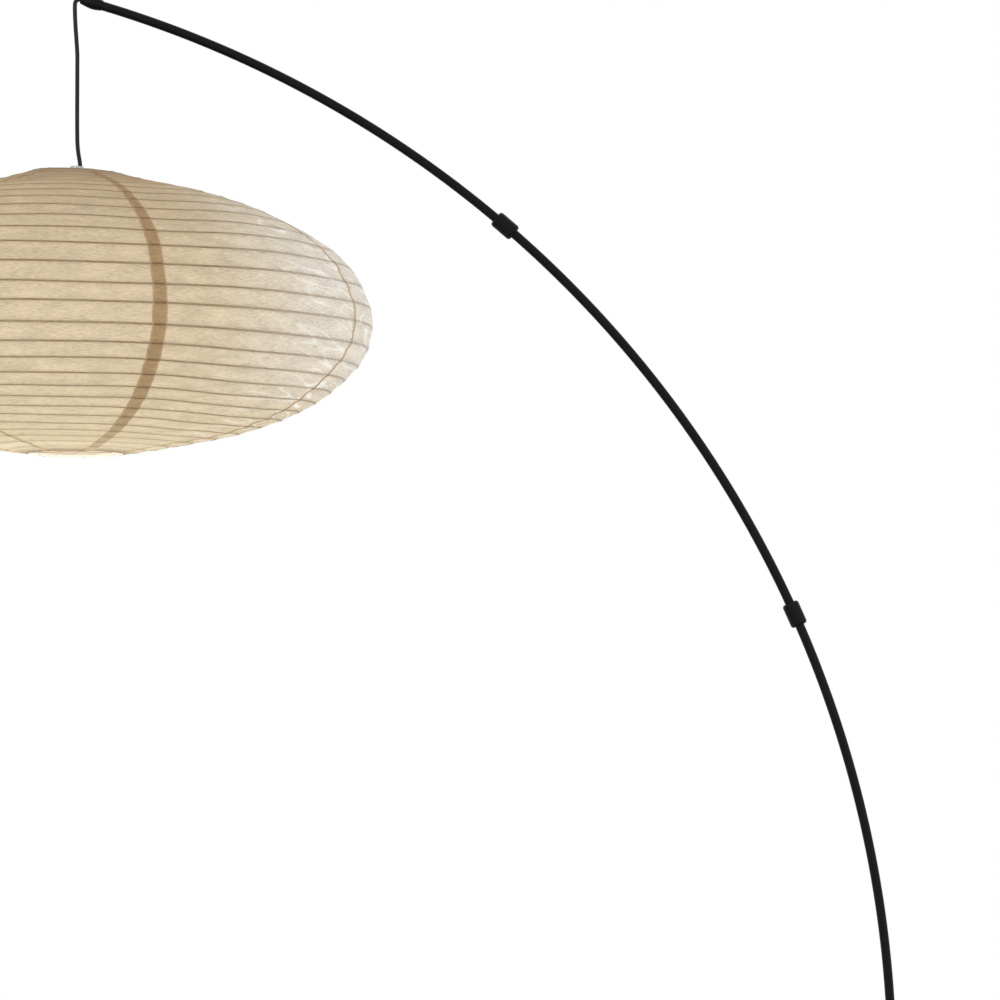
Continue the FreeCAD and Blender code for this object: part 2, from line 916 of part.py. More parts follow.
def quarter_profile(height, lift, rim_radius, panels):
    """Points from the widest ring to a rim, evenly spaced along the curve.

    The curve is a little flatter than an ellipse, and its last stretch is pulled up to the
    rim by the spreader.
    """
    power = 2 / size.lantern_roundness.value
    panels = int(panels.value)
    curve = []
    for step in range(CURVE_STEPS + 1):
        turn = math.pi / 2 * step / CURVE_STEPS
        radius = lantern_radius.value * math.cos(turn) ** power
        if radius < rim_radius:
            break
        nearness = max(0, 1 - (radius - rim_radius) / size.lift_span.value)
        pulled = lift.value * nearness**2
        curve.append((radius, height.value * math.sin(turn) ** power + pulled))
    lengths = [0.0]
    for here, there in zip(curve, curve[1:]):
        lengths.append(lengths[-1] + math.dist(here, there))
    points = []
    for panel in range(panels + 1):
        target = lengths[-1] * panel / panels
        at = min(range(len(lengths)), key=lambda index: abs(lengths[index] - target))
        points.append(curve[at])
    points[-1] = (rim_radius, points[-1][1])
    return points


def skin_profile():
    """The outer points of the paper, one at each rib, from the bottom rim to the top rim."""
    top_edge = size.top_rim_diameter.value / 2 + size.rim_gap.value
    bottom_edge = size.bottom_rim_diameter.value / 2 + size.rim_gap.value
    above = quarter_profile(size.lantern_rise, size.top_rim_lift, top_edge, size.upper_panels)
    below = quarter_profile(
        size.lantern_fall, size.bottom_rim_lift, bottom_edge, size.lower_panels
    )
    lower = [(radius, -height) for radius, height in reversed(below)]
    return lower + above[1:]


def inside_of(points, thickness):
    """The same points moved inwards by the paper's thickness."""
    inner = []
    for index, (radius, height) in enumerate(points):
        before = points[max(index - 1, 0)]
        after = points[min(index + 1, len(points) - 1)]
        along = (after[0] - before[0], after[1] - before[1])
        length = math.hypot(*along)
        inner.append(
            (radius - thickness * along[1] / length, height + thickness * along[0] / length)
        )
    for end in (0, -1):
        inner[end] = (points[end][0], inner[end][1])
    return inner


profile = skin_profile()
top_rise = Size(profile[-1][1], repr(profile[-1][1]))
bottom_fall = Size(profile[0][1], repr(profile[0][1]))
lantern_middle = swivel_z - size.lantern_hang
top_rim_z = lantern_middle + top_rise - size.rim_height / 2
bottom_rim_z = lantern_middle + bottom_fall + size.rim_height / 2


def paper_gore(number):
    """One gore of the skin, from seam to seam: a flat cone of paper from each rib to the next."""
    inner = inside_of(profile, size.paper_thickness.value)
    corners = [FreeCAD.Vector(radius, 0, height) for radius, height in profile + inner[::-1]]
    section = Part.Face(Part.makePolygon(corners + corners[:1]))
    axis = FreeCAD.Vector(0, 0, 1)
    spread = sized(FULL_TURN) / size.gore_count
    gore = shaped(f"paper_gore_{number}", section.revolve(FreeCAD.Vector(), axis, spread.value))
    seam = size.first_seam_angle + spread * (number - 1)
    gore.Placement = FreeCAD.Placement(
        FreeCAD.Vector(), FreeCAD.Rotation(axis, seam.value)
    )
    bind(gore, "Placement.Rotation.Angle", seam)
    hang(gore, lantern_middle)


def rim_hoop(name, diameter, level):
    outer = diameter / 2
    half = size.rim_height / 2
    hoop = turned(
        name,
        [
            (outer - size.rim_width, -half),
            (outer, -half),
            (outer, half),
            (outer - size.rim_width, half),
        ],
    )
    hang(hoop, level)


# --- the lamp --------------------------------------------------------------------------

base_pad()
base_disc()
washer()
base_bolt()
base_socket()
inlet_grommet()
column_tube()
lower_arc_tube()
arc_tube("middle_arc_tube", size.middle_arc_length, first_joint)
arc_tube("upper_arc_tube", size.upper_arc_length, second_joint)
place(coupler("lower_coupler"), z=seat + size.column_length)
place_on_arc(coupler("middle_coupler"), first_joint)
place_on_arc(coupler("upper_coupler"), second_joint)
tip_cap()
feed_cord()
pendant_cord_bend()
pendant_cord_drop()
cord_grip()
holder_cap()
holder_shell()
holder_contact()
shade_ring()
bulb_screw_cap()
bulb_glass()
spreader_hub()
spreader_leg("spreader_leg_left", -1)
spreader_leg("spreader_leg_right", 1)
spreader_crossbar()
rim_hoop("top_rim_hoop", size.top_rim_diameter, top_rim_z)
rim_hoop("bottom_rim_hoop", size.bottom_rim_diameter, bottom_rim_z)
for number in range(1, int(size.gore_count.value) + 1):
    paper_gore(number)
doc.recompute()

for thing in doc.Objects:
    failed = [state for state in thing.State if state in ("Invalid", "Error")]
    assert not failed, f"{thing.Name} is {failed}"
for piece in nodes:
    assert not piece.Shape.isNull(), f"{piece.Label} has no shape"
    assert piece.Shape.isValid(), f"{piece.Label} isn't valid"

os.makedirs("parts", exist_ok=True)
for piece in nodes:
    piece.Shape.exportStep(f"parts/{piece.Label}.step")
print(len(nodes), "pieces; swivel", swivel, "nose", nose_end)
print("rims", round(top_rim_z.value, 2), round(bottom_rim_z.value, 2), "lamp", lamp_tip.value)
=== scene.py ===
import math

import bpy
from mathutils import Matrix, Vector, noise


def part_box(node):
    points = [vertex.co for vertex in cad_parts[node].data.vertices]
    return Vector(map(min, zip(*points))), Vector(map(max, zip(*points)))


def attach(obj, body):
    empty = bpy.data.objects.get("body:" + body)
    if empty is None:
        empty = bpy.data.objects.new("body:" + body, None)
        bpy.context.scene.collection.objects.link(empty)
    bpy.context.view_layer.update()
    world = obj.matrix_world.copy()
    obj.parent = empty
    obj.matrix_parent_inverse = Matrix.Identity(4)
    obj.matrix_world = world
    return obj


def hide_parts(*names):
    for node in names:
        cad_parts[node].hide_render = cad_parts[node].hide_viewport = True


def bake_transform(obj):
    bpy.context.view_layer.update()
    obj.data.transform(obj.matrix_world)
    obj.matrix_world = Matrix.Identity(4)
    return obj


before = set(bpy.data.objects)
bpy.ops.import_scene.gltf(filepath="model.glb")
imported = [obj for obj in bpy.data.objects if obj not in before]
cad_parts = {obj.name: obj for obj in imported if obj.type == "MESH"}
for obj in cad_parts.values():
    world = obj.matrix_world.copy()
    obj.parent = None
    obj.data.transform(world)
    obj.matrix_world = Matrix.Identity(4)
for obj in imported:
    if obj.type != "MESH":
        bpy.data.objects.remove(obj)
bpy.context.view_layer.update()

scene = bpy.context.scene


# --- the view ---------------------------------------------------------------------------
# The lamp is seen from in front through a long lens. The lens stands lower than the
# lantern's middle and looks up a little, so that the lantern shows a sliver of its mouth.

LENS_PLACE = Vector((-0.640, -8.060, 0.940))
LENS_AIM = Vector((-0.5075, 0, 1.4388))
VIEW_WIDTH = 1.300


def facing(place, aim):
    """The turn of a camera or a lamp that stands at one point and looks at another."""
    return (Vector(aim) - Vector(place)).to_track_quat("-Z", "Y").to_euler()


lens = bpy.data.cameras.new("view")
lens.sensor_width = 36
lens.lens = lens.sensor_width * (LENS_AIM - LENS_PLACE).length / VIEW_WIDTH
camera = bpy.data.objects.new("view", lens)
camera.location = LENS_PLACE
camera.rotation_euler = facing(LENS_PLACE, LENS_AIM)
scene.collection.objects.link(camera)
scene.camera = camera


# --- pendant cord -----------------------------------------------------------------------
# Black two-core flex with a smooth jacket. It comes out of the tip cap's nose, turns down
# and carries the lantern, and bows to one side where it passes the spreader's eye.

MM = 0.001
CORD_DIAMETER = 5.5 * MM
CORD_SIDES = 24
# (x, z) in mm, from inside the nose down to the holder.
CORD_ROUTE = [
    (-1051.514, 2091.655),
    (-1057.374, 2093.348),
    (-1062.28, 2089.70),
    (-1062.38, 2080.30),
    (-1061.78, 2062.10),
    (-1059.88, 2037.40),
    (-1058.78, 2020.50),
    (-1058.78, 2007.00),
    (-1058.78, 1919.00),
    (-1057.98, 1895.70),
    (-1054.38, 1876.20),
    (-1054.08, 1861.90),
    (-1058.78, 1843.70),
    (-1058.78, 1830.70),
]


def paint(red, green, blue):
    """A colour as it is mixed on a screen, from 0 to 255, turned into light."""
    levels = [level / 255 for level in (red, green, blue)]
    light = [v / 12.92 if v <= 0.04045 else ((v + 0.055) / 1.055) ** 2.4 for v in levels]
    return (*light, 1)


def new_finish(name):
    finish = bpy.data.materials.new(name)
    finish.use_nodes = True
    return finish, finish.node_tree, finish.node_tree.nodes["Principled BSDF"]


def feed(tree, node, inputs):
    """Puts plain values or the outputs of other nodes into a node's sockets."""
    for socket, value in inputs.items():
        if isinstance(value, bpy.types.NodeSocket):
            tree.links.new(value, node.inputs[socket])
        elif value is not None:
            node.inputs[socket].default_value = value


def add_node(tree, kind, inputs=None, **settings):
    """A new node with its own settings, and with values or outputs in its sockets."""
    made = tree.nodes.new("ShaderNode" + kind)
    for name, value in settings.items():
        setattr(made, name, value)
    feed(tree, made, inputs or {})
    return made


def number_node(tree, operation, first, second=None, third=None, clamp=False):
    """A math node on numbers or outputs."""
    inputs = {0: first, 1: second, 2: third}
    return add_node(tree, "Math", inputs, operation=operation, use_clamp=clamp).outputs[0]


def blend_colours(tree, share, first, second, way="MIX"):
    """Colours mixed by a share, each one given as a colour or as an output."""
    inputs = {0: share, 6: first, 7: second}
    return add_node(tree, "Mix", inputs, data_type="RGBA", blend_type=way).outputs[2]


def shared_effect(name, takes, gives):
    """A new shader node group with named inputs and outputs."""
    group = bpy.data.node_groups.new(name, "ShaderNodeTree")
    for label, kind, start in takes:
        socket = group.interface.new_socket(label, in_out="INPUT", socket_type=kind)
        if start is not None:
            socket.default_value = start
    for label in gives:
        group.interface.new_socket(label, in_out="OUTPUT", socket_type="NodeSocketFloat")
    return group, group.nodes.new("NodeGroupInput").outputs, group.nodes.new("NodeGroupOutput")


grain, grain_given, grain_made = shared_effect(
    "fine grain",
    [
        ("Place", "NodeSocketVector", None),
        ("Stretch", "NodeSocketVector", (1, 1, 1)),
        ("Grains per metre", "NodeSocketFloat", 1000),
        ("Clouds per metre", "NodeSocketFloat", 12),
    ],
    ["Grain", "Cloud"],
)
grain_place = add_node(
    grain, "VectorMath", {0: grain_given["Place"], 1: grain_given["Stretch"]},
    operation="MULTIPLY",
)
for label, place, size, detail in (
    ("Grain", grain_place.outputs[0], "Grains per metre", 3),
    ("Cloud", grain_given["Place"], "Clouds per metre", 4),
):
    inputs = {"Vector": place, "Scale": grain_given[size], "Detail": detail}
    feed(grain, grain_made, {label: add_node(grain, "TexNoise", inputs).outputs[0]})

CLOUD_SHARE = 0.7
GRAIN_STRENGTH = 0.6


def grained_finish(
    name, dark, light, rough, grains, clouds, depth, stretch=(1, 1, 1), metal=0, shine=0.5
):
    """A finish whose colour and gloss drift softly over the piece, with a fine raised grain."""
    finish, tree, surface = new_finish(name)
    inputs = {
        "Place": add_node(tree, "TexCoord").outputs["Object"],
        "Stretch": stretch,
        "Grains per metre": grains,
        "Clouds per metre": clouds,
    }
    fine, cloud = add_node(tree, "Group", inputs, node_tree=grain).outputs
    drift = number_node(tree, "MULTIPLY", cloud, CLOUD_SHARE)
    speck = number_node(tree, "MULTIPLY_ADD", fine, 1 - CLOUD_SHARE, drift)
    low, high = rough
    relief = {"Strength": GRAIN_STRENGTH, "Distance": depth, "Height": fine}
    feed(tree, surface, {
        "Base Color": blend_colours(tree, speck, dark, light),
        "Roughness": number_node(tree, "MULTIPLY_ADD", cloud, high - low, low),
        "Metallic": metal,
        "Specular IOR Level": shine,
        "Normal": add_node(tree, "Bump", relief).outputs[0],
    })
    return finish


def clear_bench():
    """Leaves nothing selected, so that the next operator works on its own piece alone."""
    if bpy.context.object and bpy.context.object.mode != "OBJECT":
        bpy.ops.object.mode_set(mode="OBJECT")
    bpy.ops.object.select_all(action="DESELECT")


def pick_up(piece):
    clear_bench()
    piece.select_set(True)
    bpy.context.view_layer.objects.active = piece


def named(name):
    """The piece at hand, under its own name."""
    piece = bpy.context.object
    piece.name = piece.data.name = name
    return piece


def draw_ring(rise):
    """Draws the selected edges upwards, with a wall of new faces behind them."""
    bpy.ops.mesh.extrude_edges_move(TRANSFORM_OT_translate={"value": (0, 0, rise)})


def smooth(crease_angle):
    bpy.ops.object.shade_smooth_by_angle(angle=math.radians(crease_angle))


def settle(piece, crease_angle=35):
    """Puts the piece's place into its mesh, turns its faces outwards and smooths it."""
    pick_up(piece)
    bpy.ops.object.transform_apply(location=True, rotation=True, scale=True)
    bpy.ops.object.mode_set(mode="EDIT")
    bpy.ops.mesh.select_all(action="SELECT")
    bpy.ops.mesh.remove_doubles(threshold=0.005 * MM)
    bpy.ops.mesh.normals_make_consistent(inside=False)
    bpy.ops.object.mode_set(mode="OBJECT")
    smooth(crease_angle)


def fit(piece, body, slot_name, finish, *stands_for):
    """Gives the piece its finish and fixes it to its body, in place of plain solids."""
    piece.data.materials.clear()
    piece.data.materials.append(finish)
    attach(piece, body)
    if stands_for:
        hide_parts(*stands_for)


def coat(finish, *names):
    """Gives the finish to solids that show as they are."""
    for name in names:
        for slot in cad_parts[name].material_slots:
            slot.material = finish


jacket = grained_finish(
    "cord jacket", paint(9, 9, 10), paint(24, 24, 25),
    rough=(0.36, 0.5), grains=900, clouds=40, depth=0.02 * MM, shine=0.25,
)

route = bpy.data.curves.new("cord_route", "CURVE")
route.dimensions = "3D"
route.resolution_u = 10
spline = route.splines.new("NURBS")
spline.points.add(len(CORD_ROUTE) - 1)
for point, (x, z) in zip(spline.points, CORD_ROUTE):
    point.co = (x * MM, 0, z * MM, 1)
spline.order_u = 3
spline.use_endpoint_u = True
route_line = bpy.data.objects.new("cord_route", route)
scene.collection.objects.link(route_line)
bpy.context.view_layer.update()
line = bpy.data.meshes.new_from_object(route_line)
cord_line = [vertex.co.copy() for vertex in line.vertices]
bpy.data.objects.remove(route_line)

# The jacket is drawn up straight, one ring for each point of the route, and then laid
# along the route.
clear_bench()
bpy.ops.mesh.primitive_circle_add(
    vertices=CORD_SIDES, radius=CORD_DIAMETER / 2, fill_type="NGON", location=(0, 0, 0)
)
cord = named("pendant_cord")
bpy.ops.object.mode_set(mode="EDIT")
bpy.ops.mesh.select_mode(type="EDGE")
for step in cord_line[1:]:
    draw_ring(MM)
bpy.ops.mesh.edge_face_add()
bpy.ops.object.mode_set(mode="OBJECT")
for vertex in cord.data.vertices:
    station = round(vertex.co.z / MM)
    before = cord_line[max(station - 1, 0)]
    after = cord_line[min(station + 1, len(cord_line) - 1)]
    across = (after - before).normalized().cross(Vector((0, 1, 0)))
    vertex.co = cord_line[station] + across * vertex.co.x + Vector((0, vertex.co.y, 0))
settle(cord, crease_angle=60)
cord.data.materials.append(jacket)
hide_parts("pendant_cord_bend", "pendant_cord_drop")
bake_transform(cord)


# --- base -------------------------------------------------------------------------------
# A heavy steel disc with a rounded rim, powder coated black, on a rubber pad. A flanged
# socket is bolted to it from below, and a rubber bush lines the hole for the lead.

powder_coat = grained_finish(
    "black powder coat", paint(4, 4, 4), paint(12, 12, 12),
    rough=(0.34, 0.48), grains=1400, clouds=9, depth=0.03 * MM, shine=0.13,
)
rubber = grained_finish(
    "black rubber", paint(17, 17, 17), paint(30, 30, 29),
    rough=(0.78, 0.92), grains=1800, clouds=30, depth=0.05 * MM,
)
zinc_plate = grained_finish(
    "zinc plate", paint(150, 150, 152), paint(190, 190, 188),
    rough=(0.28, 0.42), grains=900, clouds=120, depth=0.01 * MM, metal=1,
)


def ring_up(name, outline, sides=64, axis=(0, 0), level=0, solid=False):
    """A turned piece, drawn up ring by ring from (radius, height above a level) in mm.

    The last ring joins the first, unless the piece is solid and closed at both ends.
    """
    clear_bench()
    radius, height = outline[0]
    bpy.ops.mesh.primitive_circle_add(
        vertices=sides,
        radius=radius * MM,
        fill_type="NGON" if solid else "NOTHING",
        location=(*axis, (level + height) * MM),
    )
    piece = named(name)
    bpy.ops.object.mode_set(mode="EDIT")
    bpy.ops.mesh.select_mode(type="EDGE")
    for next_radius, next_height in outline[1:] if solid else outline[1:] + outline[:1]:
        draw_ring((next_height - height) * MM)
        share = next_radius / radius
        bpy.ops.transform.resize(
            value=(share, share, 1), center_override=(*axis, (level + next_height) * MM)
        )
        radius, height = next_radius, next_height
    if solid:
        bpy.ops.mesh.edge_face_add()
    bpy.ops.object.mode_set(mode="OBJECT")
    bpy.ops.object.transform_apply(location=True)
    return piece


def work_over(piece, kind, **settings):
    """Works the whole piece with one of the modelling tools."""
    tool = piece.modifiers.new(kind.lower(), kind)
    for name, value in settings.items():
        setattr(tool, name, value)
    pick_up(piece)
    bpy.ops.object.modifier_apply(modifier=tool.name)


def round_edges(piece, width, sharper_than=25):
    """Breaks the piece's sharp edges to a radius, as coating or moulding leaves them."""
    settle(piece)
    work_over(
        piece,
        "BEVEL",
        width=width * MM,
        segments=3,
        limit_method="ANGLE",
        angle_limit=math.radians(sharper_than),
        harden_normals=False,
    )
    smooth(40)


base_disc = ring_up(
    "weighted_disc",
    [(15, 2), (159, 2), (160, 3), (160, 13), (157, 16), (4.6, 16), (4.6, 9), (15, 9)],
    sides=160,
)
round_edges(base_disc, 1.2)
fit(base_disc, "stand", "base_metal", powder_coat, "base_disc")

base_socket = ring_up(
    "flanged_socket",
    [
        (4, 16), (28, 16), (28, 20), (27, 21), (13.6, 21), (12, 22.6), (12, 74), (10, 76),
        (6.2, 76), (6.2, 36), (4.5, 36), (4.5, 26), (4, 26),
    ],
    sides=96,
)
round_edges(base_socket, 0.6)
fit(base_socket, "stand", "base_metal", powder_coat, "base_socket")

coat(rubber, "base_pad", "inlet_grommet")
coat(zinc_plate, "base_bolt", "base_washer")


# --- pole -------------------------------------------------------------------------------
# Four lengths of 12 mm steel tube, powder coated black. The first stands straight in the
# socket, and the others are rolled to one radius.

TUBE_RADIUS = 6
TUBE_WALL = 1
TUBE_SIDES = 40
COLUMN_FOOT = 36
COLUMN_TOP = 672
BEND_START = 705
BEND_RADIUS = 1440
BEND_STEPS = 40
JOINT_TURNS = [along / BEND_RADIUS for along in (603, 1239, 1857)]
bend_middle = Vector((-BEND_RADIUS * MM, 0, BEND_START * MM))


def on_pole(turn):
    """The place of a piece on the bend, its own height along the pole."""
    place = Vector((BEND_RADIUS * MM * math.cos(turn), 0, BEND_RADIUS * MM * math.sin(turn)))
    return Matrix.Translation(bend_middle + place) @ Matrix.Rotation(-turn, 4, "Y")


def tube_end(name, height):
    """The ring that a tube's wall makes where it is cut."""
    clear_bench()
    bpy.ops.mesh.primitive_circle_add(
        vertices=TUBE_SIDES, radius=TUBE_RADIUS * MM, location=(0, 0, height * MM)
    )
    tube = named(name)
    bpy.ops.object.mode_set(mode="EDIT")
    draw_ring(0)
    share = (TUBE_RADIUS - TUBE_WALL) / TUBE_RADIUS
    bpy.ops.transform.resize(value=(share, share, 1), center_override=(0, 0, height * MM))
    bpy.ops.mesh.select_all(action="SELECT")
    return tube


def straight_run(x, z):
    """Draws the selected end on in a straight line, in mm."""
    bpy.ops.mesh.extrude_region_move(TRANSFORM_OT_translate={"value": (x * MM, 0, z * MM)})


def bent_run(turn):
    bpy.ops.mesh.spin(steps=BEND_STEPS, angle=turn, center=bend_middle, axis=(0, 1, 0))


def finish_tube(tube):
    bpy.ops.object.mode_set(mode="OBJECT")
    settle(tube, crease_angle=50)
    fit(tube, "stand", "pole_metal", powder_coat, tube.name + "_tube")


column = tube_end("column", COLUMN_FOOT)
straight_run(0, COLUMN_TOP - COLUMN_FOOT)
finish_tube(column)

lower_arc = tube_end("lower_arc", COLUMN_TOP)
straight_run(0, BEND_START - COLUMN_TOP)
bent_run(JOINT_TURNS[0])
finish_tube(lower_arc)

for name, start, end in zip(("middle_arc", "upper_arc"), JOINT_TURNS, JOINT_TURNS[1:]):
    arc_tube = tube_end(name, BEND_START)
    bpy.ops.transform.rotate(value=start, orient_axis="Y", center_override=bend_middle)
    bent_run(end - start)
    finish_tube(arc_tube)

coat(jacket, "feed_cord")


# --- couplers ---------------------------------------------------------------------------
# Plain turned sleeves with chamfered ends, coated like the pole. Each one hides the joint
# of two tubes.

COUPLER_PROFILE = [
    (6.2, -16), (8.5, -16), (9.4, -15.4), (11, -13.4), (11, 13.4), (9.4, 15.4), (8.5, 16),
    (6.2, 16),
]

for name, place in (
    ("lower", Matrix.Translation((0, 0, COLUMN_TOP * MM))),
    ("middle", on_pole(JOINT_TURNS[0])),
    ("upper", on_pole(JOINT_TURNS[1])),
):
    sleeve = ring_up(name + "_sleeve", COUPLER_PROFILE)
    sleeve.matrix_world = place
    round_edges(sleeve, 0.5, sharper_than=20)
    fit(sleeve, "stand", "pole_metal", powder_coat, name + "_coupler")


# --- tip cap ----------------------------------------------------------------------------
# A turned cap over the last tube's end: a thin collar, a fuller belly and a tapered nose
# that the cord comes out of.

tip_cap = ring_up(
    "nose_cap",
    [
        (6.2, -14), (6.9, -14), (7.0, -13.2), (7.4, -10.2), (7.95, -7.6), (8.2, -5.2),
        (8.25, -2.4), (8.1, 0.4), (7.6, 3.6), (6.9, 7.2), (6.1, 10.8), (5.5, 13.6),
        (4.9, 14.8), (4.3, 15), (2.95, 15), (2.95, 0), (6.2, 0),
    ],
)
tip_cap.matrix_world = on_pole(JOINT_TURNS[2])
settle(tip_cap, crease_angle=50)
fit(tip_cap, "stand", "pole_metal", powder_coat, "tip_cap")


# --- lamp holder and bulb ---------------------------------------------------------------
# A black moulded holder in two halves, gripped on the cord from above, with a threaded
# ring below its flange. An opal bulb is screwed into it.

# The holder and the bulb are turned about the lantern's axis, with their heights counted
# from the cord's end, which the grip screw holds.
LANTERN_X = -1.0587803
CORD_END = 1830.7
HUNG = {"axis": (LANTERN_X, 0), "level": CORD_END}
phenolic = grained_finish(
    "black moulded holder", paint(16, 16, 17), paint(27, 26, 26),
    rough=(0.26, 0.40), grains=700, clouds=30, depth=0.01 * MM, shine=0.4,
)
ceramic = grained_finish(
    "white ceramic", paint(224, 222, 214), paint(240, 238, 232),
    rough=(0.25, 0.4), grains=500, clouds=60, depth=0.01 * MM,
)
nickel = grained_finish(
    "nickel screw cap", paint(176, 172, 160), paint(206, 203, 194),
    rough=(0.2, 0.34), grains=900, clouds=80, depth=0.01 * MM, metal=1,
)

cord_grip = ring_up(
    "grip_screw",
    [(2.9, 0), (2.9, 6), (4.5, 6), (6, 4.5), (6, -6), (0.2, -6), (0.2, 0)],
    sides=48,
    **HUNG,
)
round_edges(cord_grip, 0.4)
fit(cord_grip, "lantern", "holder", phenolic, "cord_grip")

holder_cap = ring_up(
    "holder_upper_half",
    [
        (0.2, -6), (6.5, -6), (8, -6.8), (9.6, -9.1), (13.4, -16.1), (16.9, -20.3),
        (18.6, -22.5), (19, -24.7), (19, -34), (17, -34), (17, -23.7), (7, -8), (0.2, -8),
    ],
    **HUNG,
)
settle(holder_cap, crease_angle=45)
fit(holder_cap, "lantern", "holder", phenolic, "holder_cap")

holder_shell = ring_up(
    "holder_lower_half",
    [
        (0.2, -34), (21.5, -34), (21.5, -37), (19, -37), (19, -68.3), (18, -69.5),
        (13.5, -69.5), (13.5, -39), (0.2, -39),
    ],
    **HUNG,
)
round_edges(holder_shell, 0.4)
fit(holder_shell, "lantern", "holder", phenolic, "holder_shell")

RING_RADIUS = 24
RING_FLUTES = 30
FLUTE_DEPTH = 0.45
shade_ring = ring_up(
    "fluted_ring",
    [(19.2, -45.6), (22.6, -45.6), (RING_RADIUS, -44.6), (RING_RADIUS, -38.6), (19.2, -38.6)],
    sides=RING_FLUTES * 6,
    **HUNG,
)
for vertex in shade_ring.data.vertices:
    spoke = Vector((vertex.co.x, vertex.co.y))
    if spoke.length > (RING_RADIUS - 0.5) * MM:
        wave = 0.5 + 0.5 * math.cos(RING_FLUTES * math.atan2(spoke.y, spoke.x))
        spoke *= 1 - FLUTE_DEPTH * MM * wave / spoke.length
        vertex.co.x, vertex.co.y = spoke
settle(shade_ring, crease_angle=40)
fit(shade_ring, "lantern", "holder", phenolic, "shade_ring")

coat(ceramic, "holder_contact")
coat(nickel, "bulb_screw_cap")

opal, opal_tree, opal_surface = new_finish("opal bulb")
opal_place = add_node(opal_tree, "TexCoord").outputs["Object"]
opal_cloud = add_node(opal_tree, "TexNoise", {"Vector": opal_place, "Scale": 35}).outputs[0]
opal_colour = blend_colours(opal_tree, opal_cloud, paint(248, 240, 222), paint(255, 250, 238))
feed(opal_tree, opal_surface, {
    "Base Color": opal_colour,
    "Emission Color": opal_colour,
    "Emission Strength": 0.7,
    "Roughness": 0.22,
    "Coat Weight": 0.3,
})

GLOBE_RADIUS = 30
GLOBE_MIDDLE = -121
GLOBE_TURN = 110
GLOBE_STEPS = 19
bulb_outline = []
for step in range(1, GLOBE_STEPS + 1):
    turn = math.radians(-90 + step * GLOBE_TURN / GLOBE_STEPS)
    height = GLOBE_MIDDLE + GLOBE_RADIUS * math.sin(turn)
    bulb_outline.append((GLOBE_RADIUS * math.cos(turn), height))
bulb_outline += [
    (25.4, -105.1), (22.2, -98.9), (18.7, -91.7), (15.6, -84.1), (13.7, -76.5), (13.0, -70.3),
]
bulb = ring_up("opal_bulb", bulb_outline, **HUNG, solid=True)
settle(bulb, crease_angle=60)
fit(bulb, "lantern", "bulb", opal, "bulb_glass")


# --- paper lantern ----------------------------------------------------------------------
# Seven gores of thin handmade paper, glued over thin wire ribs from a lower to an upper
# rim. The paper sags between the ribs, which tilt and wave, and is slack and creased on
# one side. Here it is drawn up as a tube and then blown out to its shape.

WIDEST = 385  # radius at the widest rib, in mm as all sizes here
PANELS = 14  # the spaces between ribs, from the widest one to each rim
RIB_SPACING = 30
GORES = 7
GORE_TURN = math.tau / GORES
FIRST_SEAM = math.radians(18.8)
PAPER_THICKNESS = 0.35
SAG = 1.3
COCKLE = 0.35
FOLD_DEPTH = 1.3
SLACK_SIDE = math.radians(82)
SLACK_BACK = math.radians(-150)
AROUND = 392  # how finely the paper is drawn: points in a ring
STEPS = 4  # and rings from one rib to the next


def half_of_ribs(height, pull, rim_radius):
    """(radius, height) of the ribs from the widest one to a rim, in mm.

    The curve is a little flatter than an ellipse, the ribs are evenly spaced along it, and
    its last stretch is pulled out to the rim.
    """
    flatness = 2 / 1.9
    pulled_stretch = 90
    fine_steps = 4000
    curve = []
    for step in range(fine_steps + 1):
        turn = math.pi / 2 * step / fine_steps
        radius = WIDEST * math.cos(turn) ** flatness
        if radius < rim_radius:
            break
        near_rim = max(0, 1 - (radius - rim_radius) / pulled_stretch)
        curve.append((radius, height * math.sin(turn) ** flatness + pull * near_rim**2))
    lengths = [0]
    for here, there in zip(curve, curve[1:]):
        lengths.append(lengths[-1] + math.dist(here, there))
    half = []
    for panel in range(PANELS + 1):
        target = lengths[-1] * panel / PANELS
        half.append(curve[min(range(len(lengths)), key=lambda i: abs(lengths[i] - target))])
    return half


lower_half = half_of_ribs(height=163, pull=3.8, rim_radius=62.1)
upper_half = half_of_ribs(height=199, pull=8.7, rim_radius=60.1)
ribs = [(radius, -height) for radius, height in reversed(lower_half)] + upper_half[1:]
TOP = len(ribs) - 1
gore_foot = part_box("paper_gore_1")[0].z
lantern_middle = Vector((LANTERN_X, 0, gore_foot - ribs[0][1] * MM))


def even_radius(place):
    """The lantern's radius at a place counted in ribs, before any unevenness."""
    index = min(int(place), TOP - 1)
    return ribs[index][0] + (ribs[index + 1][0] - ribs[index][0]) * (place - index)


def spoke_at(turn):
    """Straight out from the lantern's axis, at an angle from the front towards +X."""
    return Vector((math.sin(turn), -math.cos(turn), 0))


def soft_step(low, high, value):
    share = min(max((value - low) / (high - low), 0), 1)
    return share * share * (3 - 2 * share)


def around_noise(turn, height, seed, laps=1.6):
    """A soft random number from -1 to 1 that closes round the lantern."""
    return noise.noise(Vector((laps * math.cos(turn), laps * math.sin(turn), height + 17 * seed)))


def slack_at(turn, rib):
    """How slack the paper is, from 0 to 1: most at one side and a little at the back."""
    side = math.cos((turn - SLACK_SIDE) / 2) ** 2
    side = soft_step(0.86, 0.99, side) * soft_step(2, 6, rib) * soft_step(25, 19, rib)
    back = math.cos((turn - SLACK_BACK) / 2) ** 2
    back = soft_step(0.93, 1.0, back) * soft_step(3, 8, rib) * soft_step(20, 12, rib)
    return max(side, 0.6 * back)


def painted_backlight_at(turn, rib):
    """How much paler the paper is painted, from 0 to 1, on the side towards the pole, where light
    from behind shows through it.
    """
    return soft_step(0.42, 0.98, math.sin(turn)) * soft_step(5, 14, rib) * soft_step(26, 16, rib)


